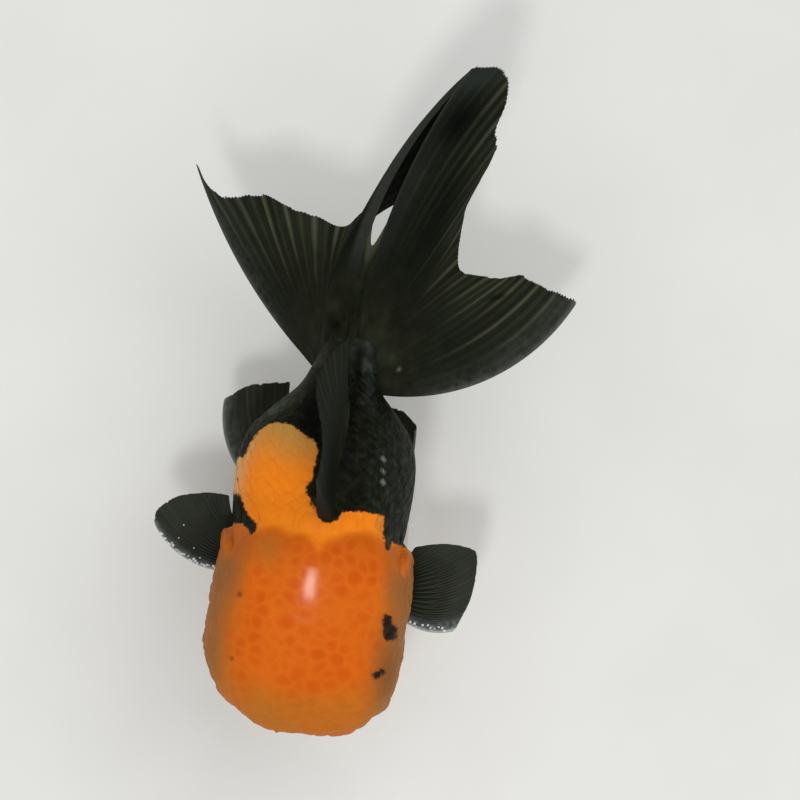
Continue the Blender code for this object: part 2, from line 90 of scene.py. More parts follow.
# The fins' guide rays, leading edge first: root, length, heading and its tip value, rise and its tip value
TAIL_LEFT = (
    ((8.2, 47.2, -6.0), 71.4, 96, 25, -28, 10),
    ((9.0, 50.5, -4.5), 58.7, 77, 35, -33, 14),
    ((9.3, 54.0, -2.5), 50.9, 63, 37, -31, 14),
    ((9.4, 57.5, -0.5), 39.5, 45, 55, -30, 13),
    ((9.0, 61.0, 1.3), 31.4, 39, 45, -17, 11),
    ((8.5, 62.0, 3.0), 42.2, 38, 24, 3, 3),
    ((7.6, 62.5, 4.4), 53.6, 32, 24, 16, -6),
    ((6.8, 63.0, 5.8), 68.6, 20, 32, 22, -10),
    ((5.6, 63.5, 7.0), 82.7, 10, 37, 25, -11),
    ((3.8, 63.5, 8.4), 80.7, 4, 31, 28, -11),
)
TAIL_RIGHT = (
    ((-6.5, 52.0, -6.0), 71.8, -51, -22, -30, 20),
    ((-6.5, 55.0, -4.0), 55.2, -37, -35, -30, 13),
    ((-6.0, 58.0, -2.0), 47.1, -32, -21, -23, 8),
    ((-5.4, 60.5, -0.5), 36.8, -20, -10, -23, 12),
    ((-5.0, 62.0, 1.3), 30.4, -5, 10, -11, 6),
    ((-4.7, 63.0, 3.0), 35.4, -7, 32, 2, -7),
    ((-4.2, 63.5, 4.4), 44.3, -14, 63, 13, -17),
    ((-3.4, 64.0, 5.8), 63.0, -10, 64, 19, -19),
    ((-2.2, 64.0, 7.0), 81.0, 0, 43, 20, -16),
    ((1.1, 64.0, 8.4), 77.9, 0, 39, 23, -16),
)
DORSAL = (
    ((0.9, 11.5, 26.5), 23.0, -14, -16, 72, 46),
    ((2.0, 20.0, 27.0), 28.0, -15, -16, 68, 36),
    ((2.8, 29.0, 25.5), 28.5, -20, -18, 60, 24),
    ((3.2, 37.0, 22.0), 25.0, -17, -12, 48, 14),
    ((3.2, 44.0, 17.0), 19.0, -6, -2, 34, 6),
)
PECTORAL_LEFT = (
    ((19.0, -9.5, -12.0), 23.7, 150, 69, -7, -8),
    ((19.3, -8.0, -12.8), 25.6, 133, 50, -8, -6),
    ((19.5, -6.5, -13.4), 26.4, 105, 45, -11, -4),
    ((19.6, -5.0, -14.0), 26.1, 77, 51, -11, -4),
    ((19.6, -3.5, -14.6), 19.2, 64, 47, -18, -5),
    ((19.5, -2.0, -15.2), 10.7, 55, 27, -36, -12),
)
PECTORAL_RIGHT = (
    ((-19.0, -5.0, -12.0), 33.7, -113, -31, -13, -1),
    ((-19.3, -3.6, -12.8), 32.6, -97, -37, -16, 3),
    ((-19.5, -2.2, -13.4), 28.9, -81, -35, -22, 8),
    ((-19.6, -0.8, -14.0), 23.3, -67, -27, -25, 5),
    ((-19.6, 0.6, -14.6), 17.5, -56, -8, -31, 4),
)
PELVIC_LEFT = (
    ((9.5, 12.0, -28.0), 32.2, 64, -11, -30, 12),
    ((8.5, 14.5, -28.8), 32.0, 51, 2, -36, 13),
    ((7.5, 16.5, -29.2), 31.2, 32, 8, -44, 10),
    ((6.5, 18.5, -29.4), 30.5, 18, 8, -55, 8),
)
PELVIC_RIGHT = (
    ((-9.5, 12.0, -28.0), 42.1, -83, 6, -6, -2),
    ((-8.5, 14.5, -28.8), 39.1, -66, 1, -17, 2),
    ((-7.5, 16.5, -29.2), 36.7, -52, 0, -29, 1),
    ((-6.5, 18.5, -29.4), 34.3, -35, 1, -39, -1),
)
ANAL_LEFT = (
    ((3.6, 36.5, -22.0), 24.0, 14, 6, -50, -22),
    ((3.6, 39.5, -20.0), 22.0, 12, 6, -44, -20),
    ((3.4, 42.5, -17.5), 17.0, 10, 4, -36, -16),
)
ANAL_RIGHT = tuple(((-x, y, z), n, -a, -b, c, d) for (x, y, z), n, a, b, c, d in ANAL_LEFT)
RIPPLE_START = 0.35

# Where the fish's own zero is in the frame, from the left eye's box
low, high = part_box("eye_left")
EYE_RADIUS = (high.x - low.x) / 2 / METRES
PLACE = np.array((low + high) / 2) / METRES - np.array(EYE_PLACES["left"])


def to_model(points):
    """The fish's own millimetres turned into the frame's metres."""
    return (np.asarray(points, float) + PLACE) * METRES


# ---------------------------------------------------------------- numbers


def smooth(low, high, value):
    """0 at low rising smoothly to 1 at high."""
    x = np.clip((value - low) / (high - low), 0, 1)
    return x * x * (3 - 2 * x)


def hill(value, width):
    """1 at 0, fading on both sides over about that width."""
    return np.exp(-((value / width) ** 2))


def along(stations, share):
    """The value at each share on a smooth curve through (share, value) stations. A value may be a list."""
    places = np.array([s for s, _ in stations], float)
    values = np.array([v for _, v in stations], float)
    share = np.clip(np.asarray(share, float), places[0], places[-1])
    last = len(places) - 1
    i = np.clip(np.searchsorted(places, share, side="right") - 1, 0, last - 1)
    k = np.arange(last + 1)
    before, after = np.maximum(k - 1, 0), np.minimum(k + 1, last)
    extra = (1,) * (values.ndim - 1)
    slopes = (values[after] - values[before]) / (places[after] - places[before]).reshape(-1, *extra)
    gap = (places[i + 1] - places[i]).reshape(*share.shape, *extra)
    x = ((share - places[i]).reshape(*share.shape, *extra)) / gap
    return (
        values[i] * (1 + 2 * x) * (1 - x) ** 2
        + slopes[i] * gap * x * (1 - x) ** 2
        + values[i + 1] * x * x * (3 - 2 * x)
        - slopes[i + 1] * gap * x * x * (1 - x)
    )


def length(vectors):
    """The length of each vector along the last axis."""
    return np.linalg.norm(vectors, axis=-1)


def running(steps):
    """The total before each step, and after the last."""
    return np.concatenate([[0.0], np.cumsum(steps)])


def packed(*parts):
    """Arrays or numbers side by side, along a new last axis."""
    return np.stack(np.broadcast_arrays(*parts), axis=-1)


def unit(vectors):
    return vectors / np.maximum(np.linalg.norm(vectors, axis=-1, keepdims=True), 1e-9)


def hashed(cell, seed):
    """A repeatable random number from 0 to 1 for each whole-number cell."""
    c = cell.astype(np.int64)
    h = (c[..., 0] * 73856093) ^ (c[..., 1] * 19349663) ^ (c[..., 2] * 83492791) ^ (seed * 40503 + 977)
    h = ((h & 0xFFFFFFFF) * 1274126177) & 0xFFFFFFFF
    h = ((h ^ (h >> 15)) * 1103515245) & 0xFFFFFFFF
    return ((h ^ (h >> 13)) & 0xFFFFFF) / 0xFFFFFF


def noise(points, size, seed=0):
    """Smooth noise from -1 to 1 with features about that size."""
    p = np.asarray(points, float) / size
    base = np.floor(p)
    f = p - base
    f = f * f * (3 - 2 * f)
    total = 0.0
    for corner in itertools.product((0, 1), repeat=3):
        weight = np.prod(np.where(np.array(corner) == 1, f, 1 - f), axis=-1)
        total = total + weight * hashed(base + corner, seed)
    return 2 * total - 1


def noise_vectors(points, size, seed):
    """Three kinds of that noise, one for each coordinate."""
    return np.stack([noise(points, size, seed + k) for k in range(3)], axis=-1)


def cells(points, size, seed=0, jitter=0.75):
    """Rounded cells of about that size: 1 in a cell's middle, 0 at its rim, and each cell's random number."""
    p = np.asarray(points, float) / size
    base = np.floor(p)
    first = np.full(p.shape[:-1], 9.0)
    second = first.copy()
    own = np.zeros(p.shape[:-1])
    for shift in itertools.product((-1, 0, 1), repeat=3):
        cell = base + shift
        offset = np.stack([hashed(cell, seed + k) for k in (1, 2, 3)], axis=-1) - 0.5
        away = length(p - cell - 0.5 - jitter * offset)
        closer = away < first
        second = np.where(closer, first, np.minimum(second, away))
        own = np.where(closer, hashed(cell, seed + 7), own)
        first = np.where(closer, away, first)
    rim = 2 * first / (first + second)
    return 1 - rim**6, own


# ---------------------------------------------------------------- the body's form


def rounding(share, bluntness):
    """How wide a blunt end has grown at each share of its length."""
    share = np.clip(share, 0, 1)
    return (1 - (1 - share) ** bluntness) ** (1 / bluntness)


def flesh_point(share, angle):
    """Points on the plain body. Angle 0 is the fish's left, a quarter turn its back."""
    share, angle = np.broadcast_arrays(np.asarray(share, float), np.asarray(angle, float))
    ends = rounding(share / NOSE_SHARE, NOSE_BLUNTNESS)
    ends = ends * rounding((SKIN_END - share) / END_SHARE, END_BLUNTNESS)
    power = 2 / along(ROUNDNESS, share)
    across, up = (np.sign(way) * np.abs(way) ** power for way in (np.cos(angle), np.sin(angle)))
    height = np.where(up > 0, along(HEIGHT_ABOVE, share), along(DEPTH_BELOW, share))
    sideways = along(SIDEWAYS_BEND, share) + ends * along(HALF_WIDTH, share) * across
    return packed(sideways, SNOUT_Y + BODY_LENGTH * share, ends * height * up)


def flesh_normal(share, angle):
    """Which way the plain body faces there."""
    step = 0.004
    share = np.clip(share, step, SKIN_END - step)
    lengthwise = flesh_point(share + step, angle) - flesh_point(share - step, angle)
    around = flesh_point(share, angle + step) - flesh_point(share, angle - step)
    return unit(np.cross(lengthwise, around))


def eye_distance(points):
    return np.minimum(*(length(points - np.array(place)) for place in EYE_PLACES.values()))


def wen(points):
    """The wen's thickness over the plain body, and how deep in a crease between two growths a point is."""
    def pillow(centre, reach, thickness):
        distance = length((points - np.array(centre)) / np.array(reach))
        return (thickness * np.clip(1 - distance**4, 0, 1) ** WEN_EDGE) ** WEN_JOIN

    orbit = smooth(ORBIT_RADIUS, ORBIT_RADIUS + ORBIT_SLOPE, eye_distance(points))
    points = points + (1.3 * noise_vectors(points, 10.0, 81) + 0.45 * noise_vectors(points, 4.0, 84))
    groups = [sum(pillow((side * x, y, z), reach, thickness) for side in sides)
              for (x, y, z), reach, thickness, sides in WEN]
    thick = np.array(groups) ** (1 / WEN_JOIN)
    ranked = np.sort(thick, axis=0)
    crease = hill(ranked[-1] - ranked[-2], 0.5) * smooth(0.5, 1.6, ranked[-2])
    crease = crease * smooth(-46, -32, points[..., 1])
    total = np.sum(groups, axis=0) + sum(pillow(*layer) for layer in UNDERLAYS)
    return orbit * total ** (1 / WEN_JOIN), crease * orbit


def gill_edge(points):
    """How far behind the gill covers' free edge a point is, and how much that edge counts there."""
    x, y, z = np.abs(points[..., 0] + 1.3), points[..., 1], points[..., 2]
    under = smooth(-8, -22, z)
    edge = 6.3 - 15 * ((z + 2) / 22) ** 2 - under * 1.1 * np.maximum(0, 14 - x)
    near = under * smooth(1, 4, x) + (1 - under) * smooth(12.5, 16.5, x)
    return y - edge, near * smooth(15, 9, z)


COBBLE_BIG, COBBLE, COBBLE_FINE = 7.5, 3.6, 1.3  # the sizes of the wen's three kinds of cobbles
CROWN = np.array((-1.1, -6.0, 27.0))  # where the hood is smoothest
CROWN_HEIGHT, CROWN_CURVE = 3.0, 240.0
SCALE_DEPTH = 0.32  # how far the bare skin lies under the scales
GILL_SWELL, GILL_STEP = 0.8, 0.7  # the gill covers' rise before their free edge, and the drop behind it


def skin_height(points, fine=True):
    """How far the skin stands off the plain body, with how much of it is wen, and its cobbles."""
    thickness, crease = wen(points)
    bare = smooth(0.2, 1.4, thickness)
    behind, near = gill_edge(points)
    height = thickness - SCALE_DEPTH * (1 - bare)
    swell, step = GILL_SWELL * smooth(-7, -0.6, behind), GILL_STEP * np.exp(-np.maximum(behind, 0) / 1.4)
    height += near * np.where(behind < 0, swell, -step)
    if not fine:
        return height, bare, None, None, None
    warp = noise_vectors(points, 5.0, 21) * 0.7
    big, _ = cells(points + warp, COBBLE_BIG, 40)
    cobble, own = cells(points + warp, COBBLE, 50)
    small, _ = cells(points + warp * 0.5, COBBLE_FINE, 60)
    soft = bare * smooth(4.7, 7.5, eye_distance(points))
    z, away = points[..., 2], length(points - CROWN)
    flat = smooth(15, 6, away)
    height = height * (1 - flat) + (CROWN_HEIGHT - away**2 / CROWN_CURVE) * flat
    crown = (1.25 - 0.85 * smooth(10, 23, z)) * (1 - 0.96 * flat)
    height += soft * crown * (0.36 * (big - 0.56) + 0.24 * (cobble - 0.57) + 0.05 * (small - 0.57))
    height -= soft * crease * (0.4 - 0.3 * smooth(2, 14, z))
    height += mouth_and_nostrils(points)
    return height, bare, 1 - (1 - cobble) ** (1 / 3), own, crease * bare


MOUTH_X, MOUTH_Z, MOUTH_HALF = 0.3, -8.2, 4.6
NOSTRILS = ((-7.4, 5.0), (6.2, 5.0))


def mouth_and_nostrils(points):
    """Raised lips with a slit between them, and two nostrils, each with a flap in front."""
    x, y, z = points[..., 0] - MOUTH_X, points[..., 1], points[..., 2]
    front = smooth(-36, -42, y)
    line = z - MOUTH_Z + 0.05 * x**2
    reach = np.clip(1 - (np.abs(x) / MOUTH_HALF) ** 4, 0, 1) ** 0.5
    height = front * reach * (0.9 * hill(np.abs(line) - 1.5, 1.0) - 2.2 * hill(line, 0.5))
    for nose_x, nose_z in NOSTRILS:
        away = np.hypot(points[..., 0] - nose_x, z - nose_z)
        flap = np.hypot(points[..., 0] - nose_x * 0.9, z - nose_z + 1.1)
        height += front * (0.75 * hill(flap, 0.9) - 1.3 * hill(away, 0.75))
    return height


GAZES = {"left": unit(np.array((1.0, -0.2, 0.12))), "right": unit(np.array((-1.0, -0.2, 0.12)))}
SOCKET_BACK = -3.0  # the skin further behind an eye's middle than this stays as it is


def open_sockets(points, rim=4.5, cup=4.55, spread=7.4, level=2.9):
    """Opens a round cup for each eye: the skin inside the rim lines it, and the skin around makes way."""
    points = points.copy()
    lip = math.sqrt(cup**2 - level**2)
    for label, place in EYE_PLACES.items():
        centre, gaze = np.array(place), GAZES[label]
        offset = points - centre
        height = (offset @ gaze)[:, None]
        flat = offset - height * gaze
        radius = length(flat)[:, None]
        out = flat / np.maximum(radius, 1e-6)
        tilt = (math.pi - math.asin(lip / cup)) * radius / rim
        lined = centre + out * cup * np.sin(tilt) - gaze * cup * np.cos(tilt)
        pulled = lip + (radius - rim) * (spread - lip) / (spread - rim)
        ring = (0.4 + 1.1 * np.maximum(out[:, 2:], 0)) * hill(radius - rim - 0.6, 0.9)
        keep = smooth(rim, rim + 0.7, radius)
        moved = points + out * (pulled - radius) + gaze * ring
        flush = centre + out * pulled + gaze * (level * (1 - keep) + (height + ring) * keep)
        near = (radius >= rim) & (radius < spread) & (height > SOCKET_BACK)
        inside = (radius < rim) & (height > SOCKET_BACK)
        points = np.where(inside, lined, np.where(near, keep * moved + (1 - keep) * flush, points))
    return points


# ---------------------------------------------------------------- the markings

# The photo's view: the place that it looks straight down on, the height above it and the width that it shows
VIEW_CENTRE, CAMERA_DISTANCE, VIEW_SPAN = np.array((17.1, 46.1, 0.0)), 700.0, 219.9

ORANGE_DEEP, ORANGE_NET = (0.68, 0.106, 0.005), (0.74, 0.156, 0.010)
GOLD, GOLD_PALE, CREAM_HIGHLIGHT = (0.94, 0.255, 0.013), (0.50, 0.29, 0.07), (0.66, 0.46, 0.22)
PEACH, OCHRE, BELLY = (0.50, 0.175, 0.022), (0.32, 0.125, 0.030), (0.60, 0.28, 0.05)
RIM_GOLD, HEAD_SIDE_SHADE, CHEEK = (0.54, 0.200, 0.020), (0.28, 0.135, 0.040), (0.22, 0.094, 0.026)
NAPE_TAN, NAPE_RED, CREASE_SHADE = (0.42, 0.18, 0.03), (0.60, 0.128, 0.003), (0.36, 0.09, 0.02)
GOLD_SMUDGE, GILL_RED, SPOT_BROWN = (0.30, 0.21, 0.06), (0.47, 0.115, 0.012), (0.16, 0.045, 0.01)
BLACK, BLACK_REAR, FLANK_SHEEN = (0.0093, 0.0104, 0.0058), (0.0125, 0.0142, 0.0070), (0.0205, 0.0240, 0.0175)
HEAD_SPOT, SHOULDER_SHEEN, SHOULDER_GLINT = (0.0190, 0.0130, 0.0105), (0.029, 0.033, 0.019), (0.085, 0.095, 0.056)
REAR_GREY, ROOT_OLIVE = (0.022, 0.026, 0.024), (0.0190, 0.0212, 0.0112)

# The markings seen from above, with painted glints on a shoulder and painted shade beside the dorsal. Ovals have
# a middle and reaches, and bars have two ends and a radius. A dark spot has its height on the fish's side too.
# The painted shade beside the dorsal has the depths between which it fades in.
PATCH = (((-14.2, 21.0), (10.6, 16.2)), ((-27.0, 20.6), (12.0, 5.8)), ((-7.0, 28.4), (3.5, 4.8)))
PATCH_BITES = (((0.9, 17.8), (4.3, 7.6)), ((-4.3, 19.2), (1.9, 1.9)), ((-26.3, 19.8), (1.7, 1.0)))
DARK_SPOTS = (((20.0, -14.3), (20.9, -18.6), 1.4, 20.2), ((21.7, -16.9), (21.7, -18.4), 1.4, 17.5),
              ((18.4, -30.0), (20.0, -28.6), 0.95, 19.2))
NAPE_BITES = (((-20.4, 7.0), (2.0, 2.3)), ((21.5, 11.2), (4.6, 5.2)), ((18.1, 7.2), (0.9, 2.4)))
BROWN_SPOTS = (((-21.1, -11.6), 0.7), ((-21.4, -29.3), 0.5))
GILL_LOBES = (((21.3, -6.0), (21.3, 3.4), 3.0), ((-23.2, -6.0), (-23.8, 3.4), 4.2))
# two painted glints on the fish's right shoulder
SHOULDER_GLINT_BARS = (((-16.6, 40.0), (-14.2, 41.0)), ((-19.2, 37.6), (-17.8, 38.4)))
DORSAL_SHADE = (((-6.0, 31.0), (-8.4, 45.0), 2.0, -2.6, 0.8), ((3.4, 22.0), (5.0, 47.0), 0.7, -1.4, 0.3),
                ((5.0, 47.0), (4.4, 57.5), 0.7, -1.4, 0.3))


def plan(points):
    """Where points fall on the plan that the markings are drawn on, which is a view from high above."""
    spread = CAMERA_DISTANCE / (CAMERA_DISTANCE - points[..., 2])
    return [VIEW_CENTRE[k] + (points[..., k] - VIEW_CENTRE[k]) * spread for k in (0, 1)]


def oval_inside(x, y, centre, reach):
    """How far inside an oval each place is, in millimetres. It is negative outside."""
    u, v = (x - centre[0]) / reach[0], (y - centre[1]) / reach[1]
    r = np.maximum(np.hypot(u, v), 1e-3)
    return (1 - r) * r / np.hypot(u / reach[0], v / reach[1])


def capsule_inside(x, y, start, end, radius):
    """How far inside a bar with round ends each place is, in millimetres. It is negative outside."""
    a, b = np.array(start), np.array(end)
    p = packed(x, y) - a
    t = np.clip(p @ (b - a) / ((b - a) @ (b - a)), 0, 1)
    return radius - length(p - t[..., None] * (b - a))


def joined(a, b, blend):
    """A union whose inner corners are rounded."""
    return 0.5 * (a + b + np.sqrt((a - b) ** 2 + blend**2)) - blend / 4


def gill_lobe(points):
    """How far inside the smooth top of a gill cover a place is, in millimetres. It is negative outside."""
    x, y = plan(points)
    inside = np.maximum(*(capsule_inside(x, y, *lobe) for lobe in GILL_LOBES))
    return np.where(points[..., 2] > 0, inside, -9.0)


def orange_inside(points):
    """How far inside the orange a place is, in millimetres. It is negative in the black."""
    (x, y), z = plan(points), points[..., 2]
    down = 0.9 * np.maximum(0, 12 - z)
    q = np.where(x < 0, x - down, x + down)
    behind, _ = gill_edge(points)
    top = smooth(8, 14, z)
    head = top * (7.8 - y) - (1 - top) * behind
    main, side, rear = (oval_inside(q, y, *oval) for oval in PATCH)
    patch = joined(joined(main, side, 1.2), rear, 0.5)
    band = np.minimum(14.4 - y, np.minimum(16.6 - x, x + 18.5)) * np.where(z > 8, 1, 0) - np.where(z > 8, 0, 9)
    patch = joined(patch, band, 1.5)
    for centre, reach in PATCH_BITES:
        patch = np.minimum(patch, -oval_inside(q, y, centre, reach))
    head = np.where(y < 5.5, head, np.minimum(head, 7.8 - y))
    belly = np.minimum(-21.0 - z, np.minimum(44 - y, y + 22))
    ragged = 0.5 * noise(points, 3.4, 31) + 0.15 * noise(points, 1.6, 32)
    warm = np.maximum(np.maximum(head, patch + ragged), belly + 2.5 * ragged)
    for start, end, radius, level in DARK_SPOTS:
        spot = np.minimum(capsule_inside(x, y, start, end, radius), 3 * radius - np.abs(z - level))
        warm = np.minimum(warm, -spot - 0.22 * noise(points, 1.8, 33))
    for centre, reach in NAPE_BITES:
        warm = np.where(z > 0, np.minimum(warm, 0.6 * ragged - oval_inside(x, y, centre, reach)), warm)
    return np.maximum(warm, gill_lobe(points))


def mixed(a, b, share):
    """Colour a turning into colour b."""
    share = np.clip(share, 0, 1)[..., None]
    return np.asarray(a) * (1 - share) + np.asarray(b) * share


def layered(colour, *layers):
    """A colour with (shade, share) layers over it, each over the one before."""
    for shade, share in layers:
        colour = mixed(colour, shade, share)
    return colour


def mottle(points, share):
    """Soft dark and pale blotches, alike on the tail's root and on the skin that runs into it."""
    return (1 + share * (0.5 * noise(points, 3.2, 91) + 0.25 * noise(points, 1.3, 92)))[..., None]


def dark_colour(points):
    """The colour of the black parts: charcoal, deepest in the painted shade beside the dorsal fin and olive
    towards the tail, with painted sheen on the left flank and painted sheen and glints on the right shoulder.
    """
    (x, y), z = plan(points), points[..., 2]

    def bar(start, end, radius, low, high):
        return smooth(low, high, capsule_inside(x, y, start, end, radius)) * (z > 0)

    colour = layered(
        mixed(BLACK, BLACK_REAR, smooth(42, 56, y)),
        # painted sheen on the fish's left flank
        (FLANK_SHEEN, smooth(8, 16, x) * smooth(46, 32, y) * smooth(-10, 5, z)),
        (HEAD_SPOT, smooth(2, -4, y) * (z > 0)),
        # painted sheen along the fish's right shoulder
        (SHOULDER_SHEEN, 0.75 * bar((-23.0, 34.5), (-10.0, 45.0), 2.4, -2.0, 1.0)),
        # painted glints on that shoulder
        *((SHOULDER_GLINT, 0.7 * bar(*ends, 0.6, -0.8, 0.5)) for ends in SHOULDER_GLINT_BARS),
    )
    shade = np.max([bar(*shaded) for shaded in DORSAL_SHADE], axis=0)
    colour = colour * (1 - 0.75 * shade)[..., None]
    colour = mixed(colour, REAR_GREY, 0.7 * bar((9.8, 42.0), (7.2, 60.0), 1.2, -1.6, 0.6))
    return colour * mottle(points, smooth(44, 52, points[..., 1]))


def warm_colour(points, bare, cobble, own, crease):
    """The colour of the orange parts at each place: deep in the cobbles' middles, paler in the net between."""
    (x, y), z = plan(points), points[..., 2]
    soft = noise(points, 9.0, 41)
    patchy = smooth(-1.0, 0.4, noise(points, 6.0, 42))
    outward = np.abs(x + 1.5)
    head = layered(
        mixed(ORANGE_NET, ORANGE_DEEP, patchy * smooth(-0.1, 0.9, cobble + 0.2 * (own - 0.5) + 0.2 * soft)),
        (PEACH, smooth(16, 25, outward + 0.25 * np.maximum(0, 8 - z)) * (0.6 + 0.2 * soft)),
        (RIM_GOLD, (0.55 + 0.3 * soft) * smooth(-33, -43, y - 0.012 * (x + 2) ** 2) * smooth(-12, 0, z)),
        # painted shade on the head's outer sides, where the light falls off
        (HEAD_SIDE_SHADE, 0.65 * smooth(20.5, 26, outward) * smooth(-12, 0, z)),
        (OCHRE, 0.75 * hill(y + 4.5, 9.0) * smooth(17.5, 22.5, np.abs(x + 1.2))),
        (CHEEK, 0.8 * hill(x - 21.5, 4.5) * hill(y + 29, 11.0) * smooth(-8, 8, z)),
        (NAPE_TAN, 0.5 * hill(np.hypot(x + 14.8, y - 2.0), 5.0)),
        (NAPE_RED, 0.7 * hill(y - 7.6, 2.2) * smooth(17, 12, np.abs(x + 1))),
        (BELLY, 0.7 * smooth(-9, -22, z)),
        # painted shade in the creases between the wen's growths
        (CREASE_SHADE, 0.4 * crease * smooth(-40, -30, y)),
    ) * (0.9 - 0.1 * smooth(-8, 5, y))[..., None]
    gold = mixed(GOLD, GOLD_PALE, smooth(19, 36, y + 2 * soft)) * (1 - 0.12 * smooth(17, 10, y))[..., None]
    gold = layered(
        gold,
        # a cream tone on the patch's outer rim on the fish's right, partly a painted highlight along the outline
        (CREAM_HIGHLIGHT, 0.65 * smooth(-20.5, -25.5, x + 1.5 * soft) * smooth(6, 14, y)),
        (GOLD_SMUDGE, 0.5 * hill(x - 16.7, 1.8) * hill(y - 13.3, 1.6)),
        (BELLY, smooth(-8, -20, z)),
    )
    colour = layered(
        head,
        (gold, (1 - bare) * smooth(-12, -5, y)),
        (GILL_RED, 0.9 * smooth(-1.5, 0.5, gill_lobe(points)) * smooth(-6, 2, y)),
        *((SPOT_BROWN, hill(np.hypot(x - sx, y - sy), radius) * (z > 0)) for (sx, sy), radius in BROWN_SPOTS),
    )
    return np.clip(colour, 0, 1)


# ---------------------------------------------------------------- meshes

UV_MARGIN = 0.002


def placed(name, data, **settings):
    """A new object of the scene."""
    made = bpy.data.objects.new(name, data)
    for key, value in settings.items():
        setattr(made, key, value)
    bpy.context.scene.collection.objects.link(made)
    return made


def ring_faces(rings, around):
    """The faces of a closed surface: a point at its start, rings of points, and a point at its end."""
    k = np.arange(around)
    after = (k + 1) % around
    ring = np.arange(rings - 1)[:, None] * around + 1
    quads = packed(ring + k, ring + around + k, ring + around + after, ring + after)
    end, last = 1 + rings * around, 1 + (rings - 1) * around
    return [*((0, 1 + a, 1 + b) for a, b in zip(k, after)), *quads.reshape(-1, 4).tolist(),
            *((last + a, end, last + b) for a, b in zip(k, after))]


def ring_uv(places, around):
    """Each corner of those faces on a flat map. places gives each ring's height on it, from 0 to 1."""
    k = np.arange(around)[:, None]
    bands = [(k + (0.5, 0, 1), (0, places[0], places[0]))]
    bands += [(k + (0, 0, 1, 1), (a, b, b, a)) for a, b in zip(places[:-1], places[1:])]
    bands += [(k + (0, 0.5, 1), (places[-1], 1, places[-1]))]
    uv = [packed(u / around, v).reshape(-1, 2) for u, v in bands]
    return UV_MARGIN + (1 - 2 * UV_MARGIN) * np.concatenate(uv)


def sheet_faces(w, h):
    """The faces that close two grids of w by h points into a thin sheet. The second grid is its under side."""
    i, j = np.meshgrid(np.arange(w - 1), np.arange(h - 1), indexing="ij")
    a = (i * h + j).ravel()
    top = packed(a, a + h, a + h + 1, a + 1)
    rim = np.concatenate([np.arange(w) * h, (w - 1) * h + np.arange(1, h), np.arange(w - 2, -1, -1) * h + h - 1,
                          np.arange(h - 2, 0, -1)])
    after = np.roll(rim, -1)
    sides = packed(after, rim, rim + w * h, after + w * h)
    return np.concatenate([top, top[:, ::-1] + w * h, sides])


def make_piece(name, points, faces, material, nodes=(), values=None, uv=None):
    """A piece from points in millimetres, with named values and colours for its material.

    uv gives a place on the baked map for each point, or for each corner of each face.
    """
    mesh = bpy.data.meshes.new(name)
    mesh.from_pydata(to_model(points).tolist(), [], list(faces))
    for key, data in (values or {}).items():
        kind, field = "FLOAT", "value"
        if np.ndim(data) == 2:
            kind, field, data = "FLOAT_COLOR", "color", np.insert(data, 3, 1.0, axis=1)
        mesh.attributes.new(key, kind, "POINT").data.foreach_set(field, np.asarray(data, np.float32).ravel())
    if uv is not None:
        corners = np.empty(len(mesh.loops), np.int32)
        mesh.loops.foreach_get("vertex_index", corners)
        places = uv[corners] if len(uv) == len(points) else uv
        mesh.uv_layers.new(name="OFBake").data.foreach_set("uv", places.astype(np.float32).ravel())
    mesh.shade_smooth()
    mesh.materials.append(material)
    piece = placed(name, mesh)
    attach(piece, "root")
    if nodes:
        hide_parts(*nodes)
    return piece


# ---------------------------------------------------------------- materials


class Tree:
    """A material's node tree, with a short way to add linked nodes."""

    def __init__(self, name):
        self.material = bpy.data.materials.new(name)
        self.material.use_nodes = True
        self.nodes = self.material.node_tree.nodes
        self.links = self.material.node_tree.links
        self.shader = self.nodes["Principled BSDF"]
        self.place = self.nodes.new("ShaderNodeTexCoord").outputs["Object"]

    def add(self, kind, output, inputs, **settings):
        made = self.nodes.new("ShaderNode" + kind)
        for key, value in settings.items():
            setattr(made, key, value)
        for key, value in inputs.items():
            self.put(made.inputs[key], value)
        return made.outputs[output]

    def put(self, socket, value):
        if isinstance(value, bpy.types.NodeSocket):
            self.links.new(value, socket)
        elif isinstance(value, tuple) and len(value) == 3 and socket.type == "RGBA":
            socket.default_value = (*value, 1.0)
        else:
            socket.default_value = value

    def attribute(self, name, output="Fac"):
        return self.add("Attribute", output, {}, attribute_name=name)

    def noise(self, size, detail=2.0, rough=0.5):
        """Noise with features of about that many millimetres."""
        return self.add("TexNoise", "Fac", {"Vector": self.place, "Scale": 1000.0 / size, "Detail": detail,
                                            "Roughness": rough})

    def cells(self, size):
        return self.add("TexVoronoi", "Distance", {"Vector": self.place, "Scale": 1000.0 / size})

    def math(self, operation, a, b=0.5):
        return self.add("Math", 0, {0: a, 1: b}, operation=operation)

    def fade(self, value, low, high, start=0.0, end=1.0):
        return self.add("MapRange", 0, {0: value, 1: low, 2: high, 3: start, 4: end},
                        interpolation_type="SMOOTHSTEP")

    def mix(self, share, a, b, blend="MIX"):
        return self.add("Mix", 2, {0: share, 6: a, 7: b}, data_type="RGBA", blend_type=blend)

    def times(self, a, b, share=1.0):
        """Colour a, darkened by colour b by that share."""
        return self.mix(share, a, b, "MULTIPLY")

    def bump(self, height, distance, strength=1.0, below=None):
        inputs = {"Height": height, "Distance": distance * METRES, "Strength": strength}
        if below is not None:
            inputs["Normal"] = below
        return self.add("Bump", 0, inputs)

    def finish(self, colour, roughness, normal=None, **constants):
        self.put(self.shader.inputs["Base Color"], colour)
        self.put(self.shader.inputs["Roughness"], roughness)
        if normal is not None:
            self.put(self.shader.inputs["Normal"], normal)
        for key, value in constants.items():
            self.put(self.shader.inputs[key.replace("_", " ")], value)
        return self.material


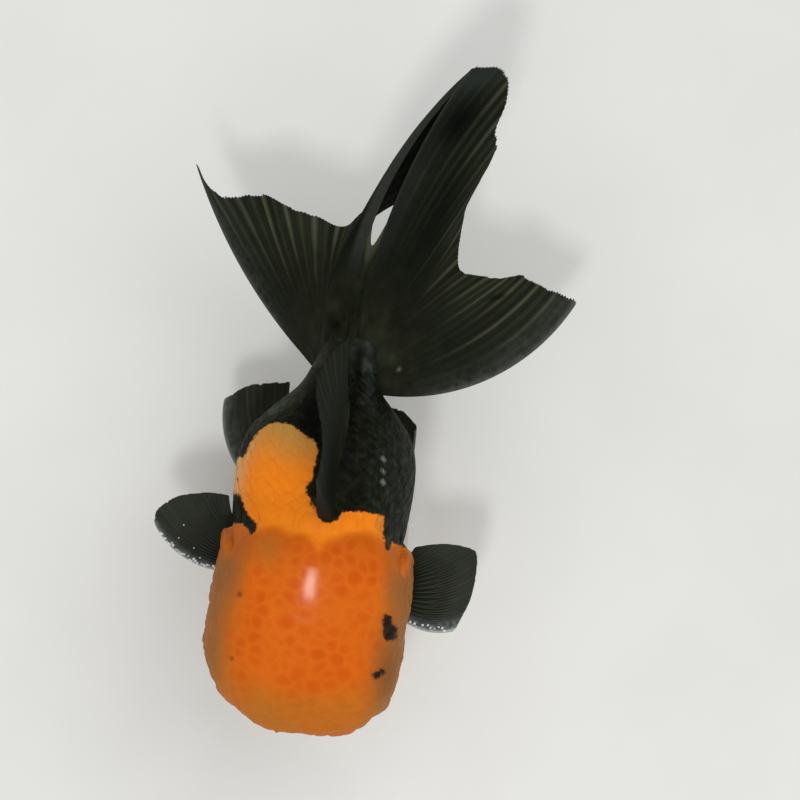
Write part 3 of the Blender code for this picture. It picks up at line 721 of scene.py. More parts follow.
def body_material(name, scaled):
    """Skin or scales: warm where the value edge is above 0 and dark below, with the same pattern on both."""
    tree = Tree(name)
    fine, middle = tree.noise(0.5, 3.0), tree.noise(2.2, 3.0)
    edge = tree.math("ADD", tree.attribute("edge"), tree.fade(tree.noise(0.9, 2.0), 0.25, 0.75, -0.2, 0.2))
    warm_share = tree.fade(edge, -0.32, 0.32)
    warm = tree.attribute("warm", "Color")
    warm = tree.times(warm, (0.88, 0.85, 0.8), tree.fade(middle, 0.3, 0.7, 0.0, 0.35))
    warm = tree.times(warm, (0.86, 0.72, 0.6), tree.fade(fine, 0.3, 0.72, 0.0, 0.25))
    cloud = tree.mix(tree.fade(middle, 0.35, 0.7), (0.56, 0.57, 0.5), (1.4, 1.45, 1.4))
    dark = tree.times(tree.attribute("dark", "Color"), cloud)
    dark = tree.mix(tree.fade(fine, 0.5, 0.8, 0.0, 0.4), dark, (0.014, 0.016, 0.011))
    dark = tree.mix(tree.math("MULTIPLY", tree.fade(edge, -0.9, -0.1), 0.35), dark, (0.022, 0.014, 0.006))
    rough = tree.fade(fine, 0.3, 0.7, 0.42, 0.56)
    if scaled:
        across = tree.attribute("across")
        shade = tree.fade(across, 0.35, 1.0, 1.12, 0.62)
        dark = tree.times(dark, tree.add("CombineColor", 0, {0: shade, 1: shade, 2: shade}))
        dark = tree.mix(tree.attribute("glint"), dark, (0.42, 0.44, 0.42))
        warm = tree.times(warm, (0.7, 0.58, 0.45), tree.fade(across, 0.3, 1.0, 0.0, 0.2))
        lines = tree.math("SINE", tree.math("MULTIPLY", tree.attribute("rings"), TAU / 0.24))
        normal = tree.bump(fine, 0.05, 0.4, tree.bump(lines, 0.012, 0.6))
        return tree.finish(tree.mix(warm_share, dark, warm), rough, normal, Coat_Weight=0.02,
                           Coat_Roughness=0.25, Specular_IOR_Level=0.02)
    normal = tree.bump(tree.noise(0.8, 3.0), 0.12, 0.45, tree.bump(tree.cells(0.42), 0.045, 0.5))
    return tree.finish(tree.mix(warm_share, dark, warm), rough, normal, Subsurface_Weight=0.18,
                       Subsurface_Scale=1.0, Subsurface_Radius=(0.0016, 0.0005, 0.0002), Coat_Roughness=0.16,
                       Coat_Weight=tree.fade(tree.attribute("wet"), 0.1, 0.9, 0.0, 0.25),
                       Specular_IOR_Level=0.03)


def fin_material(name):
    tree = Tree(name)
    fine = tree.noise(0.35, 3.0)
    colour = tree.times(tree.attribute("web", "Color"), (0.6, 0.6, 0.57), tree.fade(fine, 0.3, 0.75, 0.0, 0.5))
    colour = tree.times(colour, (0.7, 0.74, 0.8), tree.fade(tree.noise(4.0, 2.0), 0.35, 0.7, 0.0, 0.4))
    normal = tree.bump(tree.noise(1.6, 2.0), 0.12, 0.4, tree.bump(fine, 0.04, 0.5))
    return tree.finish(colour, tree.fade(fine, 0.3, 0.7, 0.5, 0.62), normal, Coat_Weight=0.0,
                       Specular_IOR_Level=0.03)


def eye_material():
    """Coloured by the value turn, which is 0 at the pupil's middle and 1 at the back of the ball."""
    tree = Tree("eye_wet")
    turn, fibre = tree.attribute("turn"), tree.attribute("fibre")
    iris = tree.mix(tree.fade(fibre, 0.0, 1.0), (0.05, 0.028, 0.010), (0.20, 0.11, 0.032))
    iris = tree.mix(tree.fade(turn, 0.168, 0.19, 1.0, 0.0), iris, (0.5, 0.29, 0.09))
    colour = tree.mix(tree.fade(turn, 0.158, 0.168), (0.0008, 0.0008, 0.001), iris)
    colour = tree.mix(tree.fade(turn, 0.245, 0.28), colour, (0.010, 0.009, 0.007))
    normal = tree.bump(tree.math("MULTIPLY", fibre, tree.fade(turn, 0.16, 0.19)), 0.05, 0.4)
    return tree.finish(colour, tree.fade(turn, 0.2, 0.3, 0.3, 0.5), normal, Coat_Weight=0.3,
                       Coat_Roughness=0.04, Specular_IOR_Level=0.1)


def speckled(name, tones, spots, rough, rough_spots, grain=None, low=0.3):
    """A plain material with two tones and a range of roughness, each in spots of a (size, detail)."""
    tree = Tree(name)
    colour = tree.mix(tree.fade(tree.noise(*spots), low, 0.7), *tones)
    normal = tree.bump(tree.noise(*grain[0]), *grain[1:]) if grain else None
    return tree.finish(colour, tree.fade(tree.noise(*rough_spots), 0.3, 0.7, *rough), normal)


def rod_material():
    tree = Tree("rod_brushed")
    stretched = tree.add("Mapping", 0, {"Vector": tree.place, "Scale": (1.0, 1.0, 0.04)})
    streak = tree.add("TexNoise", "Fac", {"Vector": stretched, "Scale": 5200.0, "Detail": 3.0})
    colour = tree.mix(tree.fade(streak, 0.3, 0.7), (0.5, 0.5, 0.49), (0.66, 0.66, 0.65))
    rough = tree.fade(streak, 0.3, 0.7, 0.22, 0.38)
    return tree.finish(colour, rough, tree.bump(streak, 0.01, 0.4), Metallic=1.0)


# ---------------------------------------------------------------- the skin

SKIN_RINGS, SKIN_AROUND = 262, 352

def profile_arc(count=2001):
    """Shares along the body and the length of its mean outline up to each."""
    shares = np.linspace(0, SKIN_END, count)
    runs = [flesh_point(shares, a) for a in (0.0, TAU / 4, TAU / 2, -TAU / 4)]
    return shares, running(np.mean([length(np.diff(r, axis=0)) for r in runs], axis=0))


PROFILE_SHARES, PROFILE_ARC = profile_arc()


def share_at(arc):
    """The share along the body at a length along its outline."""
    return np.interp(arc, PROFILE_ARC, PROFILE_SHARES)


def arc_at(share):
    """The length along the body's outline at a share."""
    return np.interp(share, PROFILE_SHARES, PROFILE_ARC)


def ring_shares():
    """The skin's rings, closer together on the head than under the scales."""
    arc = np.linspace(0, PROFILE_ARC[-1], 4001)
    y = SNOUT_Y + BODY_LENGTH * share_at(arc)
    density = 1.5 - 0.75 * smooth(6, 14, y)
    total = running((density[1:] + density[:-1]) / 2)
    places = np.interp(np.linspace(0, 1, SKIN_RINGS + 2)[1:-1], total / total[-1], arc)
    return share_at(places)


def make_skin():
    """The whole body and head as one surface, with the wen's growths and the eyes' sockets."""
    shares = ring_shares()
    angles = TAU * np.arange(SKIN_AROUND) / SKIN_AROUND
    share, angle = (g.ravel() for g in np.meshgrid(shares, angles, indexing="ij"))
    plain = flesh_point(share, angle)
    height, bare, cobble, own, crease = skin_height(plain)
    outer = plain + flesh_normal(share, angle) * height[:, None]
    edge, warm, dark = orange_inside(outer), warm_colour(outer, bare, cobble, own, crease), dark_colour(outer)
    edge = edge * (1 - 0.3 * smooth(0, -8, outer[:, 1]))  # the head's spots have softer rims
    points = open_sockets(outer)
    points = np.concatenate([[points[:SKIN_AROUND].mean(axis=0)], points, [points[-SKIN_AROUND:].mean(axis=0)]])
    edge, warm, dark = (np.concatenate([g[:1], g, g[-1:]]) for g in (edge, warm, dark))
    wet = hill(length(points - CROWN), 7.0) + 0.35 * smooth(18, 8, points[:, 2])
    flesh = ("head", "hood", "snout", "cheek_left", "cheek_right", "gill_cover_left", "gill_cover_right",
             "trunk", "peduncle")
    make_piece("skin", points, ring_faces(SKIN_RINGS, SKIN_AROUND), body_material("skin_wet", False),
               flesh, {"edge": edge, "wet": wet, "warm": warm, "dark": dark},
               ring_uv(arc_at(shares) / PROFILE_ARC[-1], SKIN_AROUND))


# ---------------------------------------------------------------- the scales

COLUMNS_WIDE, COLUMNS_NARROW, NARROW_BELOW = 40, 26, 2.9
SCALE_ROWS, SCALE_COLUMNS = 5, 6
SCALE_LENGTH, SCALE_WIDTH, SCALE_THICKNESS = 1.62, 0.66, 0.13
FIRST_SCALE_Y, LAST_SCALE_Y = -14.0, 50.0
NAPE_Z, NAPE_Y = 9.0, 7.4  # above that height the scales start at the hood's rear edge, not the gill covers'
GLINTS = ((13.6, 27.6), (13.9, 24.4), (13.9, 21.3))


def scale_roots():
    """Each scale's root: its share along the body, its angle, and the width of its column in millimetres."""
    turns = TAU / 4 + np.linspace(0, TAU, 721)
    arc, ring = arc_at((FIRST_SCALE_Y - SNOUT_Y) / BODY_LENGTH), 0
    roots = []
    while True:
        share = float(share_at(arc))
        if SNOUT_Y + BODY_LENGTH * share > LAST_SCALE_Y:
            return np.concatenate(roots)
        loop = flesh_point(share, turns)
        run = running(length(np.diff(loop, axis=0)))
        count = COLUMNS_WIDE if run[-1] / COLUMNS_WIDE > NARROW_BELOW else COLUMNS_NARROW
        width = run[-1] / count
        places = (np.arange(count) + 0.5 * (ring % 2)) * width
        roots.append(packed(share, np.interp(places, run, turns), width))
        arc += 0.36 * width
        ring += 1


def make_scales():
    """The scales of each side as one mesh. Each is a thin domed sheet, and the one before covers its root."""
    root_share, root_turn, width = scale_roots().T
    seats = flesh_point(root_share, root_turn)
    behind, _ = gill_edge(seats)
    shown = np.where(seats[:, 2] > NAPE_Z, seats[:, 1] > NAPE_Y, behind > 0.2)
    shown = shown & (wen(seats)[0] < 0.3) & (gill_lobe(seats) < -0.2)
    root_share, root_turn, width, seats = (g[shown] for g in (root_share, root_turn, width, seats))
    root_arc = arc_at(root_share)

    # t runs from a scale's root to its free edge and v across it
    n, rows, cols = len(width), SCALE_ROWS + 1, SCALE_COLUMNS + 1
    t = np.linspace(0, 1, rows)[None, :, None] ** 0.85
    v = np.sin(np.linspace(-1, 1, cols) * TAU / 4)[None, None, :]
    jitter = hashed(np.round(seats * 7), 71)[:, None, None] - 0.5
    wide = width[:, None, None]
    reach = 0.42 + 0.58 * np.sqrt(1 - (0.97 * v) ** 2)
    lengthwise = (t * reach - 0.28) * wide * (SCALE_LENGTH + 0.06 * jitter)
    share = share_at(root_arc[:, None, None] + lengthwise)
    step = 0.01
    per_turn = length(flesh_point(root_share, root_turn + step) - flesh_point(root_share, root_turn - step))
    per_turn = (per_turn / (2 * step))[:, None, None]
    narrow = 0.86 + 0.14 * smooth(0, 0.4, t)
    turn = root_turn[:, None, None] + v * wide * SCALE_WIDTH * narrow / per_turn
    plain = flesh_point(share, turn)
    normal = flesh_normal(share, turn)
    lift = -0.12 + 0.46 * t * (1 + 0.3 * jitter) - 0.05 * v**2 + 0.10 * hill(t * reach - 0.55, 0.3) * (1 - v**2)
    lift = lift * np.minimum(1.0, 0.35 + wide / 5.5) * (1 - 0.85 * smooth(38, 50, plain[..., 1]))
    top = plain + normal * (skin_height(plain, fine=False)[0] + lift)[..., None]
    edge_thin = 1 - 0.55 * np.maximum(t, np.abs(v)) ** 4
    points = np.stack([top, top - normal * (SCALE_THICKNESS * edge_thin)[..., None]], axis=1)

    # Each scale has one colour, from the part of it that shows
    middles = flesh_point(share_at(root_arc + 0.35 * width), root_turn)
    edge = orange_inside(middles)[:, None, None] * 0.12 + orange_inside(plain) * 0.88
    warm = warm_colour(middles, np.zeros(n), np.full(n, 0.3), np.full(n, 0.5), np.zeros(n))
    seen_x, seen_y = plan(middles)
    glint = np.zeros((n, 1, 1))
    for glint_x, glint_y in GLINTS:
        away = np.hypot(seen_x - glint_x, seen_y - glint_y) + 40 * (middles[:, 2] < 0)
        glint[np.argmin(away)] = 1.0
    values = {
        "edge": edge,
        "glint": glint * 0.36 * hill(t - 0.84, 0.06) * hill(v, 0.14),
        "across": np.maximum(np.abs(v), smooth(0.3, 1.0, t)),
        "rings": np.hypot(v * wide * SCALE_WIDTH, (t * reach - 0.3) * wide * SCALE_LENGTH),
    }
    colours = {"warm": warm, "dark": dark_colour(middles)}
    places = np.clip(packed((root_turn / TAU) % 1.0, root_arc / PROFILE_ARC[-1]), UV_MARGIN, 1 - UV_MARGIN)
    uv = places[:, None, None] + packed(v * 0.0015, (t - 0.5) * 0.003)
    left = seats[:, 0] > flesh_point(root_share, TAU / 4)[:, 0] + 1e-6
    material = body_material("scale_wet", True)
    for label, chosen in (("left", left), ("right", ~left)):

        def spread(data, *channels):
            """A value for each point of the chosen scales' two grids."""
            each = np.broadcast_to(data, (n, rows, cols, *channels))[chosen]
            return each[:, None].repeat(2, 1).reshape(-1, *channels)

        first = np.arange(chosen.sum())[:, None, None] * 2 * rows * cols
        piece = make_piece(
            f"scales_{label}", points[chosen].reshape(-1, 3),
            (first + sheet_faces(rows, cols)).reshape(-1, 4).tolist(), material, (),
            {**{key: spread(data) for key, data in values.items()},
             **{key: spread(data[:, None, None], 3) for key, data in colours.items()}}, spread(uv, 2))
        piece.data.set_sharp_from_angle(angle=math.radians(50))


# ---------------------------------------------------------------- the fins


def ray_points(ray, steps):
    """Points along one ray, which turns evenly from its root to its tip."""
    root, length, heading, heading_tip, rise, rise_tip = ray
    middle = (np.arange(steps) + 0.5) / steps
    turn = np.radians(heading + (heading_tip - heading) * middle)
    climb = np.radians(rise + (rise_tip - rise) * middle)
    ways = packed(np.sin(turn) * np.cos(climb), np.cos(turn) * np.cos(climb), np.sin(climb))
    return np.concatenate([[root], np.array(root) + np.cumsum(ways * (length / steps), axis=0)])


def grid_normal(grid):
    """Which way a grid of points faces at each of them."""
    across, lengthwise = np.gradient(grid, axis=0), np.gradient(grid, axis=1)
    return unit(np.cross(across, lengthwise))


def fin_sheet(guides, wide, long, ripples):
    """The fin's middle surface as a grid: rays across, root to tip along, rippling towards the free edge.

    ripples gives (first guide, last guide, size, count) for each stretch of the fin.
    """
    guide_rows = np.array([ray_points(guide, long) for guide in guides])
    last = len(guides) - 1
    place = np.linspace(0, last, wide + 1)
    grid = along([(i, row) for i, row in enumerate(guide_rows)], place)
    swing = np.zeros(wide + 1)
    for start, end, size, count in ripples:
        inside = (place >= start) & (place <= end)
        swing += np.where(inside, size * np.sin(TAU * count * (place - start) / (end - start)), 0)
    reach = np.clip((np.linspace(0, 1, long + 1) - RIPPLE_START) / (1 - RIPPLE_START), 0, 1) ** 1.5
    return grid + grid_normal(grid) * (swing[:, None] * reach[None])[..., None], place


def ray_pattern(cell, share):
    """How far from the closest branch of a ray each point is, in ray spacings."""
    x = cell - np.floor(cell) - 0.5
    best = np.full(np.broadcast(cell, share).shape, 9.0)
    wide = 0.25 * smooth(FORKS[0] - 0.04, FORKS[0] + 0.3, share)
    narrow = 0.125 * smooth(FORKS[1], FORKS[1] + 0.22, share)
    for one, two in itertools.product((-1, 1), repeat=2):
        best = np.minimum(best, np.abs(x - one * wide - two * narrow))
    return best


def dice(numbers, seed, salt):
    """A repeatable random number from 0 to 1 for each whole number."""
    return hashed(packed(np.asarray(numbers, float), 0, seed), salt)


def slide_along(rows, place):
    """Each row of points read at places along it, given in steps. Past its end a row runs straight on."""
    base = np.floor(place).astype(int).clip(0, rows.shape[1] - 2)
    part = (place - base)[..., None]
    pick = np.arange(rows.shape[0])[:, None]
    return rows[pick, base] * (1 - part) + rows[pick, base + 1] * part


INSET_ROWS = 4  # how many of a fin's rows of points lie inside the flesh
FORKS = (0.32, 0.62)  # where along its length a ray branches, and branches again
FIN_BLACK, FIN_OLIVE = (0.0030, 0.0040, 0.0018), (0.078, 0.084, 0.048)
FIN_GREY, FIN_SILVER, FIN_PALE = (0.019, 0.023, 0.017), (0.16, 0.17, 0.155), (0.060, 0.066, 0.056)
WEB_BLACK, WEB_GREY, FOLD_SHADE = (0.0085, 0.0105, 0.0055), (0.020, 0.0225, 0.012), (0.0012, 0.0018, 0.0008)
THINNEST = 0.07  # a fin's least half thickness


def free_edge(place, last, count, near_tip, seed, edge_wear, waves):
    """How much of its length each ray loses at the free edge, which is notched between rays, worn and wavy."""
    notched = 0.008 * smooth(0.04, 0.13, near_tip)
    uneven = 0.012 * dice(np.floor(place / last * count * 2), seed, 5) ** 3
    worn = 0.5 + 0.5 * noise(packed(place * 0.9, 0, seed), 0.33, 9)
    rounded = smooth(0, 0.012, place / last) * smooth(1, 0.988, place / last)
    drop = edge_wear * (notched + uneven + 0.012 * worn) + 0.012 * (1 - rounded)
    for start, end, size, times in waves:
        inside = smooth(start, start + 0.4, place) * smooth(end, end - 0.4, place)
        drop = drop + size * inside * np.sin(TAU * times * (place - start) / (end - start))
    return drop, rounded


def make_sheet(name, middle, normal, half, colour, nodes=(), uv=None):
    """A closed piece as thick as twice half around a grid of points. Returns its upper and lower grids."""
    sides = [middle + normal * half[..., None], middle - normal * half[..., None]]
    web = np.concatenate([colour.reshape(-1, 3)] * 2)
    make_piece(name, np.concatenate([side.reshape(-1, 3) for side in sides]), sheet_faces(*half.shape).tolist(),
               FIN_MATERIAL, nodes, {"web": web}, uv)
    return sides


def make_fin(name, guides, nodes, rays, ripples=(), wide=200, long=70, root_half=0.9, root_run=3.0, inset=3.0,
             streaks=0.6, webbing=0.1, lead=0.6, last_lead=0.0, edge_wear=1.0, seed=1, waves=(), bands=(),
             knobs=(), blots=(), pale_rays=0.0, silver=FIN_SILVER):
    """One fin as a closed sheet of branching rays, thick where it leaves the flesh and worn at its free edge.

    wide and long count the grid's steps. root_half is the root's half thickness, which fades over root_run.
    Stretches in ripples, waves and bands are given in guide rays; knobs and blots in places seen from above.
    """
    sheet, place = fin_sheet(guides, wide, long, ripples)
    last = len(guides) - 1
    across = (place / last)[:, None]
    out = np.linspace(0, 1, long + 1)[None, :] + 0 * across
    cell = across * rays + 0 * out
    near = ray_pattern(cell, out)
    drop, rounded = free_edge(place, last, rays, near[:, -1], seed, edge_wear, waves)
    sheet = slide_along(sheet, out * (1 - drop[:, None] * smooth(0.55, 1.0, out)) * long)

    # The sheet starts inside the flesh, a little before its rays' roots.
    sunk = np.linspace(inset, 0, INSET_ROWS, endpoint=False)[None, :, None]
    sheet = np.concatenate([sheet[:, :1] - unit(sheet[:, 1] - sheet[:, 0])[:, None] * sunk, sheet], axis=1)
    cell, near, out = (np.concatenate([g[:, :1].repeat(INSET_ROWS, 1), g], axis=1) for g in (cell, near, out))
    run = length(sheet - sheet[:, INSET_ROWS : INSET_ROWS + 1])
    spacing = length(np.gradient(sheet, axis=0)) * wide / rays
    normal = grid_normal(sheet)
    ridge = hill(near * spacing, 0.20 + 0.10 * (1 - out)) * smooth(1.0, 0.94, out)
    pleat = np.cos(TAU * cell) * smooth(0.02, 0.3, out) * smooth(0.1, 0.6, spacing)
    leading = hill(across, 0.6 / rays) + last_lead * hill(1 - across, 0.6 / rays)
    flesh = np.exp(-((run / root_run) ** 1.5))
    half = 0.19 - 0.07 * out + 0.09 * ridge * (1 - 0.45 * out) + 0.30 * leading * (1 - 0.6 * out)
    half = half + root_half * flesh * (0.3 + 0.7 * np.sqrt(np.clip(4 * across * (1 - across), 0, 1)))
    lumps = [(height, hill(length(sheet[..., :2] - (x, y)), size)) for x, y, size, height in knobs]
    for height, lump in lumps:
        half = half + height * lump
    half = np.maximum(half * (0.35 + 0.65 * rounded[:, None]) * smooth(1.012, 0.985, out), THINNEST)

    # Colour: black rays, painted olive light in the web between them, and a bluish-grey leading edge with a
    # painted silver gleam.
    border = np.round(cell)
    gap = np.abs(cell - border) + 0.06 * noise(packed(cell, out * 4, seed), 0.7, 14)
    strong = (0.45 + 0.55 * dice(border, seed, 11)) * (1 - 0.65 * (border % 2))
    faint = dice(np.floor(cell * 4 + 0.5), seed, 12)
    thread = hill(near, 0.035) * smooth(0.25, 0.6, out)
    grown = 0.10 * smooth(0.1, 0.4, out) + 0.90 * smooth(0.22 + 0.3 * dice(border, seed, 15), 0.95, out)
    glow = streaks * grown * (strong * hill(gap, 0.19) + 0.2 * faint * (1 - hill(near, 0.04)))
    broad = 0.5 + 0.5 * noise(sheet, 13.0, 13 + seed)
    gleam = lead * (hill(across, 0.4 / rays) + hill(across, 1.8 / rays) * (0.34 + 0.34 * noise(sheet, 0.9, 93)))
    root = np.exp(-((run / root_run / 2) ** 1.5))
    colour = layered(
        mixed(FIN_BLACK, FIN_GREY, 0.20 * broad + 0.3 * thread + 0.7 * webbing * smooth(0.1, 0.5, out)),
        (FIN_OLIVE, glow + webbing * 0.5 * (1 - hill(near, 0.05)) * smooth(0.2, 0.7, out)),
        (FIN_GREY, 0.7 * lead * hill(across, 2.2 / rays)),
        (FIN_PALE, pale_rays * hill(near, 0.07) * smooth(0.1, 0.35, out)),
        (silver, gleam * smooth(0.12, 0.3, out)),
        (ROOT_OLIVE, 0.9 * root),
    ) * mottle(sheet, root)
    for start, end, shade, strength in bands:
        share = smooth(start - 0.25, start + 0.25, place) * smooth(end + 0.25, end - 0.25, place)
        colour = mixed(colour, shade, share[:, None] * strength * smooth(0.15, 0.35, out))
    seen = packed(*plan(sheet))
    for x, y, long_reach, wide_reach, heading, shade, strength in blots:
        ways = np.array([[math.sin(heading), math.cos(heading)], [math.cos(heading), -math.sin(heading)]])
        inside = (seen - (x, y)) @ ways.T / (long_reach, wide_reach)
        colour = mixed(colour, shade, strength * hill(length(inside), 1.0))
    # Painted highlight on each raised knob, and painted shade in each hollow one.
    for height, lump in lumps:
        colour = colour * (1 + np.sign(height) * 0.6 * lump)[..., None]

    along_ray = np.linspace(0, 1, sheet.shape[1])
    uv = [packed(start + 0.485 * along_ray, 0.005 + 0.99 * across) for start in (0.005, 0.51)]
    middle = sheet + normal * (0.05 * pleat * (1 - 0.3 * out))[..., None]
    return *make_sheet(name, middle, normal, half, colour, nodes, np.concatenate(uv).reshape(-1, 2)), normal


def make_web(name, first, second, reach, rows=60, cols=16, hollow=0.18):
    """The skin between two neighbouring rays, each given as points, from their roots to a hollow free edge."""
    k = np.linspace(0, 1, cols + 1)[:, None]
    t = np.linspace(0, 1, rows + 1)
    sag = np.sin(np.pi * k)
    place = t * (reach * (1 - hollow * sag)) * (len(first) - 1)
    edges = [slide_along(np.broadcast_to(row, (cols + 1, *row.shape)), place) for row in (first, second)]
    grid = edges[0] * (1 - k)[..., None] + edges[1] * k[..., None]
    grid = grid - np.array((0, 0, 1.2)) * (sag * smooth(0, 0.3, t))[..., None]
    half = (0.16 + 0.5 * np.clip(1 - t / 0.3, 0, 1) ** 1.5) + 0 * k
    shade = mixed(WEB_BLACK, WEB_GREY, 0.5 + 0.5 * noise(grid, 2.0, 3))
    make_sheet(name, grid, grid_normal(grid), half, mixed(shade, FIN_OLIVE, 0.7 * smooth(0.72, 0.95, t)))


def make_tubercles(name, places, material):
    """Small domes set on the fins' leading rays, as one mesh. A place is (point, outward, radius)."""
    rings, around = 4, 10
    points, faces = [], []
    tilt = math.pi * 0.62 * np.arange(1, rings + 1)[:, None, None] / rings
    turn = TAU * np.arange(around)[:, None] / around
    for point, outward, radius in places:
        side = unit(np.cross(outward, (0.31, 0.22, 0.93)))
        spoke = side * np.cos(turn) + np.cross(outward, side) * np.sin(turn)
        dome = point + radius * (spoke * np.sin(tilt) + outward * np.cos(tilt) * 0.95)
        faces += [[len(points) + v for v in face] for face in ring_faces(rings, around)]
        points += [point + outward * radius * 0.95, *dome.reshape(-1, 3), point - outward * radius * 0.5]
    make_piece(name, np.array(points), faces, material)


def leading_tubercles(upper, lower, normal, count, seed, dots=()):
    """Places for tubercles: a row along the leading ray and single dots, on the side that faces up."""
    way = np.sign(normal[..., 2].mean())
    face = upper if way > 0 else lower
    places = []
    for k in range(count):
        along_ray, row, radius = (hashed(np.array([k, seed, 3 + i]), 21 + i) for i in range(3))
        out = 0.3 + 0.62 * (k + 0.4 * along_ray) / count
        places.append((4 + int(15 * row**1.3), out, 0.22 + 0.24 * radius))
    places += [(int(across * (face.shape[0] - 1)), out, 0.22) for across, out in dots]
    places = [(row, int(out * (face.shape[1] - 1)), radius) for row, out, radius in places]
    return [(face[row, step], way * normal[row, step], radius) for row, step, radius in places]


def make_fins():
    """All the fins, the web between the tail's upper lobes, and the tubercles on the pectorals."""
    rows = {}
    tail = dict(wide=440, long=96, root_half=1.1, root_run=9.0, inset=6.0, streaks=1.0, lead=0.35,
                last_lead=1.0)
    rows["tail_left"] = make_fin(
        "tail_left", TAIL_LEFT, ("tail_lower_left", "tail_upper_left"), rays=30,
        ripples=((0, 4, 1.6, 1.5), (4, 9, 1.2, 1.5)), seed=1, waves=((5.05, 7.45, 0.032, 1.5),),
        knobs=((13.0, 57.2, 2.4, 0.7),), bands=((8.3, 9.2, (0.016, 0.019, 0.016), 0.6),),
        # the black blots are painted shade where the lobes fold and overlap
        blots=((25.3, 124.0, 11.0, 4.5, 0.62, FOLD_SHADE, 0.95), (23.0, 99.0, 27.0, 6.0, 0.27, FOLD_SHADE, 0.6),
               (29.0, 136.5, 8.0, 2.6, 1.05, (0.024, 0.030, 0.026), 0.8),
               # painted shade along a fold in the lateral lobe
               (40.6, 77.0, 2.6, 0.7, 1.19, (0.002, 0.003, 0.001), 0.85),
               (15.6, 54.7, 0.6, 0.5, 0.0, (0.13, 0.14, 0.09), 0.9)), **tail)
    rows["tail_right"] = make_fin(
        "tail_right", TAIL_RIGHT, ("tail_lower_right", "tail_upper_right"), rays=28,
        ripples=((0, 4, 1.6, 2.0), (4, 9, 0.8, 1.0)), seed=2, knobs=((-2.3, 64.8, 1.9, -0.5),),
        # the first band is painted shade where this lobe lies under the other one
        bands=((5.6, 7.9, (0.004, 0.005, 0.004), 0.8), (8.1, 9.2, (0.034, 0.038, 0.032), 0.8)), **tail)
    make_fin("dorsal", DORSAL, ("dorsal_fin",), rays=19, ripples=((0, 4, 1.0, 1.5),), wide=260, long=60,
             root_half=0.9, root_run=2.6, streaks=0.25, lead=0.15, seed=3, knobs=((0.4, 14.5, 5.0, 1.5),),
             blots=((0.3, 14.0, 9.0, 6.0, 0.0, (0.0055, 0.0064, 0.0042), 0.9),))
    bumps = []
    for label, guides, seed, count, dots in (
        ("left", PECTORAL_LEFT, 4, 13, ()),
        ("right", PECTORAL_RIGHT, 5, 32, ((0.38, 0.75), (0.21, 0.73), (0.22, 0.57), (0.125, 0.5))),
    ):
        made = make_fin(
            f"pectoral_{label}", guides, (f"pectoral_fin_{label}",), rays=21,
            ripples=((0, len(guides) - 1, 0.6, 2.0),), wide=250, long=56, root_half=1.2, streaks=0.25,
            webbing=0.25, lead=1.0, seed=seed, edge_wear=0.8, pale_rays=0.75, silver=(0.42, 0.46, 0.47))
        bumps += leading_tubercles(*made, count, seed, dots)
    horn = speckled("tubercle_horn", ((0.5, 0.52, 0.5), (0.78, 0.79, 0.76)), (0.5,), (0.35, 0.5), (0.3,),
                    ((0.2,), 0.02, 0.4))
    make_tubercles("tubercles", bumps, horn)
    for label, guides, seed in (("left", PELVIC_LEFT, 6), ("right", PELVIC_RIGHT, 7)):
        make_fin(f"pelvic_{label}", guides, (f"pelvic_fin_{label}",), rays=10, ripples=((0, 3, 0.6, 2.0),),
                 wide=140, long=60, root_half=1.1, streaks=0.35, webbing=0.35, lead=0.8, seed=seed,
                 pale_rays=0.3)
    for label, guides, seed in (("left", ANAL_LEFT, 8), ("right", ANAL_RIGHT, 9)):
        make_fin(f"anal_{label}", guides, (f"anal_fin_{label}",), rays=8, ripples=((0, 2, 0.4, 2.0),), wide=110,
                 long=50, root_half=0.8, streaks=0.35, lead=0.5, seed=seed)
    first, second = ((rows[key][0][-1] + rows[key][1][-1]) / 2 for key in ("tail_right", "tail_left"))
    make_web("tail_web", first, second, 0.41)


# ---------------------------------------------------------------- the eyes


def make_eye(label):
    """A ball with a bulging cornea, its pole along the gaze, with an iris and pupil."""
    gaze = GAZES[label]
    side = unit(np.cross(gaze, (0.0, 0.0, 1.0)))
    other = np.cross(gaze, side)
    rings, around = 56, 96
    tilt = np.pi * np.linspace(0, 1, rings + 2)[1:-1] ** 1.15
    turn = TAU * np.arange(around) / around
    radius = EYE_RADIUS * (1 + 0.05 * smooth(0.75, 0.1, tilt) - 0.018 * hill(tilt - 0.78, 0.07))
    spoke = np.cos(turn)[:, None] * side + np.sin(turn)[:, None] * other
    lean = tilt[:, None, None]
    points = radius[:, None, None] * (np.sin(lean) * spoke + np.cos(lean) * gaze)
    points = np.concatenate([[gaze * EYE_RADIUS * 1.05], points.reshape(-1, 3), [-gaze * EYE_RADIUS]])
    turned = np.concatenate([[0.0], np.repeat(tilt / np.pi, around), [1.0]])
    fibre = 0.5 + 0.5 * noise(packed(np.cos(turn) * 9, np.sin(turn) * 9, 0), 1.0, 17)
    fibre = np.concatenate([[0.5], np.tile(fibre, rings), [0.5]])
    faces = ring_faces(rings, around)
    if np.dot(np.cross(side, other), gaze) < 0:
        faces = [face[::-1] for face in faces]
    make_piece(f"eyeball_{label}", points + np.array(EYE_PLACES[label]), faces, EYE_MATERIAL,
               (f"eye_{label}",), {"turn": turned, "fibre": fibre})


# ---------------------------------------------------------------- stage, light and camera

CAMERA_TURN = math.radians(6.024)


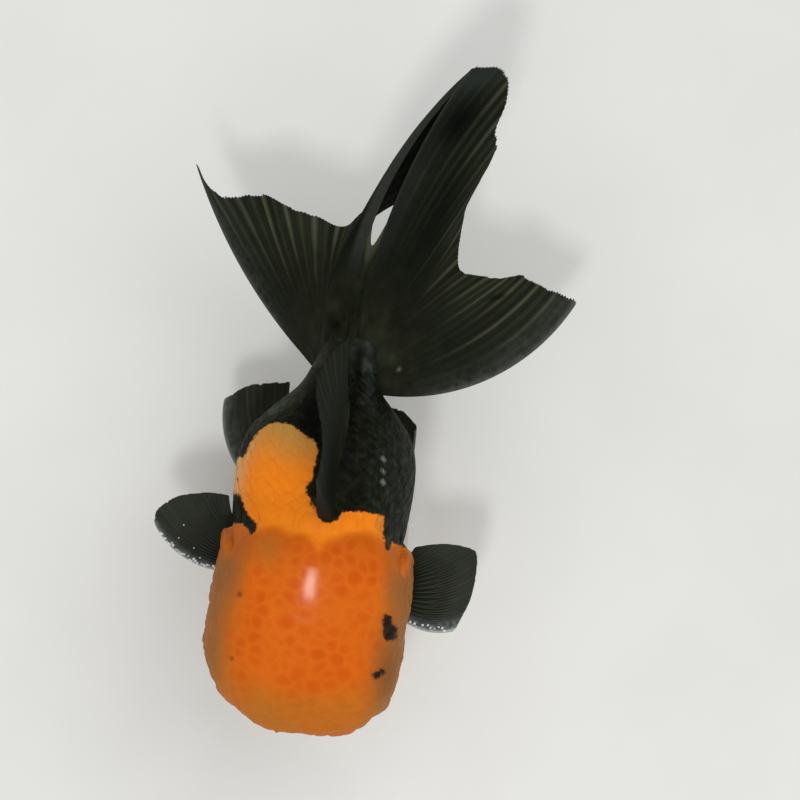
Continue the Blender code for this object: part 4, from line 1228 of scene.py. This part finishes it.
def make_stage():
    """A plain pale floor, in metres."""
    mesh = bpy.data.meshes.new("floor")
    mesh.from_pydata([(-6, -6, 0), (6, -6, 0), (6, 6, 0), (-6, 6, 0)], [], [(0, 1, 2, 3)])
    mesh.materials.append(speckled("floor_plain", ((0.74, 0.74, 0.72), (0.77, 0.77, 0.75)), (60.0, 3.0),
                                   (0.75, 0.85), (40.0,)))
    floor = placed("floor", mesh)


def make_lights():
    """An even pale room, a broad sun for it all, and one lamp over the head for a wet glint on the hood."""
    world = bpy.data.worlds.new("studio")
    world.use_nodes = True
    colour, strength = world.node_tree.nodes["Background"].inputs[:2]
    colour.default_value, strength.default_value = (0.93, 0.94, 0.93, 1), 0.68
    bpy.context.scene.world = world
    sun = bpy.data.lights.new("sun", "SUN")
    sun.energy, sun.angle = 0.85, math.radians(50)
    placed("sun", sun, rotation_euler=(math.radians(-28), math.radians(24), 0.0))
    key = bpy.data.lights.new("key", "AREA")
    key.shape, key.size, key.size_y, key.energy = "RECTANGLE", 0.08, 0.12, 1.6
    place, aim = Vector((-0.024, -0.19, 0.86)), Vector((0.0, 0.0, 0.07))
    placed("key", key, location=place, rotation_euler=(aim - place).to_track_quat("-Z", "Y").to_euler())


def make_camera():
    """The photo's view, from straight above with the fish turned a little."""
    data = bpy.data.cameras.new("camera")
    data.sensor_width, data.clip_start = 36.0, 0.01
    data.lens = data.sensor_width * CAMERA_DISTANCE / VIEW_SPAN
    place = to_model(VIEW_CENTRE) + (0.0, 0.0, CAMERA_DISTANCE * METRES)
    bpy.context.scene.camera = placed("camera", data, location=place, rotation_euler=(0.0, 0.0, CAMERA_TURN))


def dress_stand():
    """The stand's own CAD nodes show, in satin and brushed steel."""
    satin = speckled("stand_satin", ((0.62, 0.605, 0.575), (0.69, 0.675, 0.64)), (1.2, 4.0), (0.36, 0.48),
                     (2.5, 3.0), ((0.6, 3.0), 0.03, 0.35), low=0.35)
    steel = rod_material()
    for name, material in (("stand_base", satin), ("stand_rod", steel), ("stand_collar", steel)):
        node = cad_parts[name]
        node.data.materials.clear()
        node.data.materials.append(material)


bpy.context.scene.view_settings.view_transform = "Standard"
FIN_MATERIAL, EYE_MATERIAL = fin_material("fin_web"), eye_material()
make_camera()
make_lights()
make_stage()
make_skin()
make_scales()
make_fins()
for eye in EYE_PLACES:
    make_eye(eye)
dress_stand()
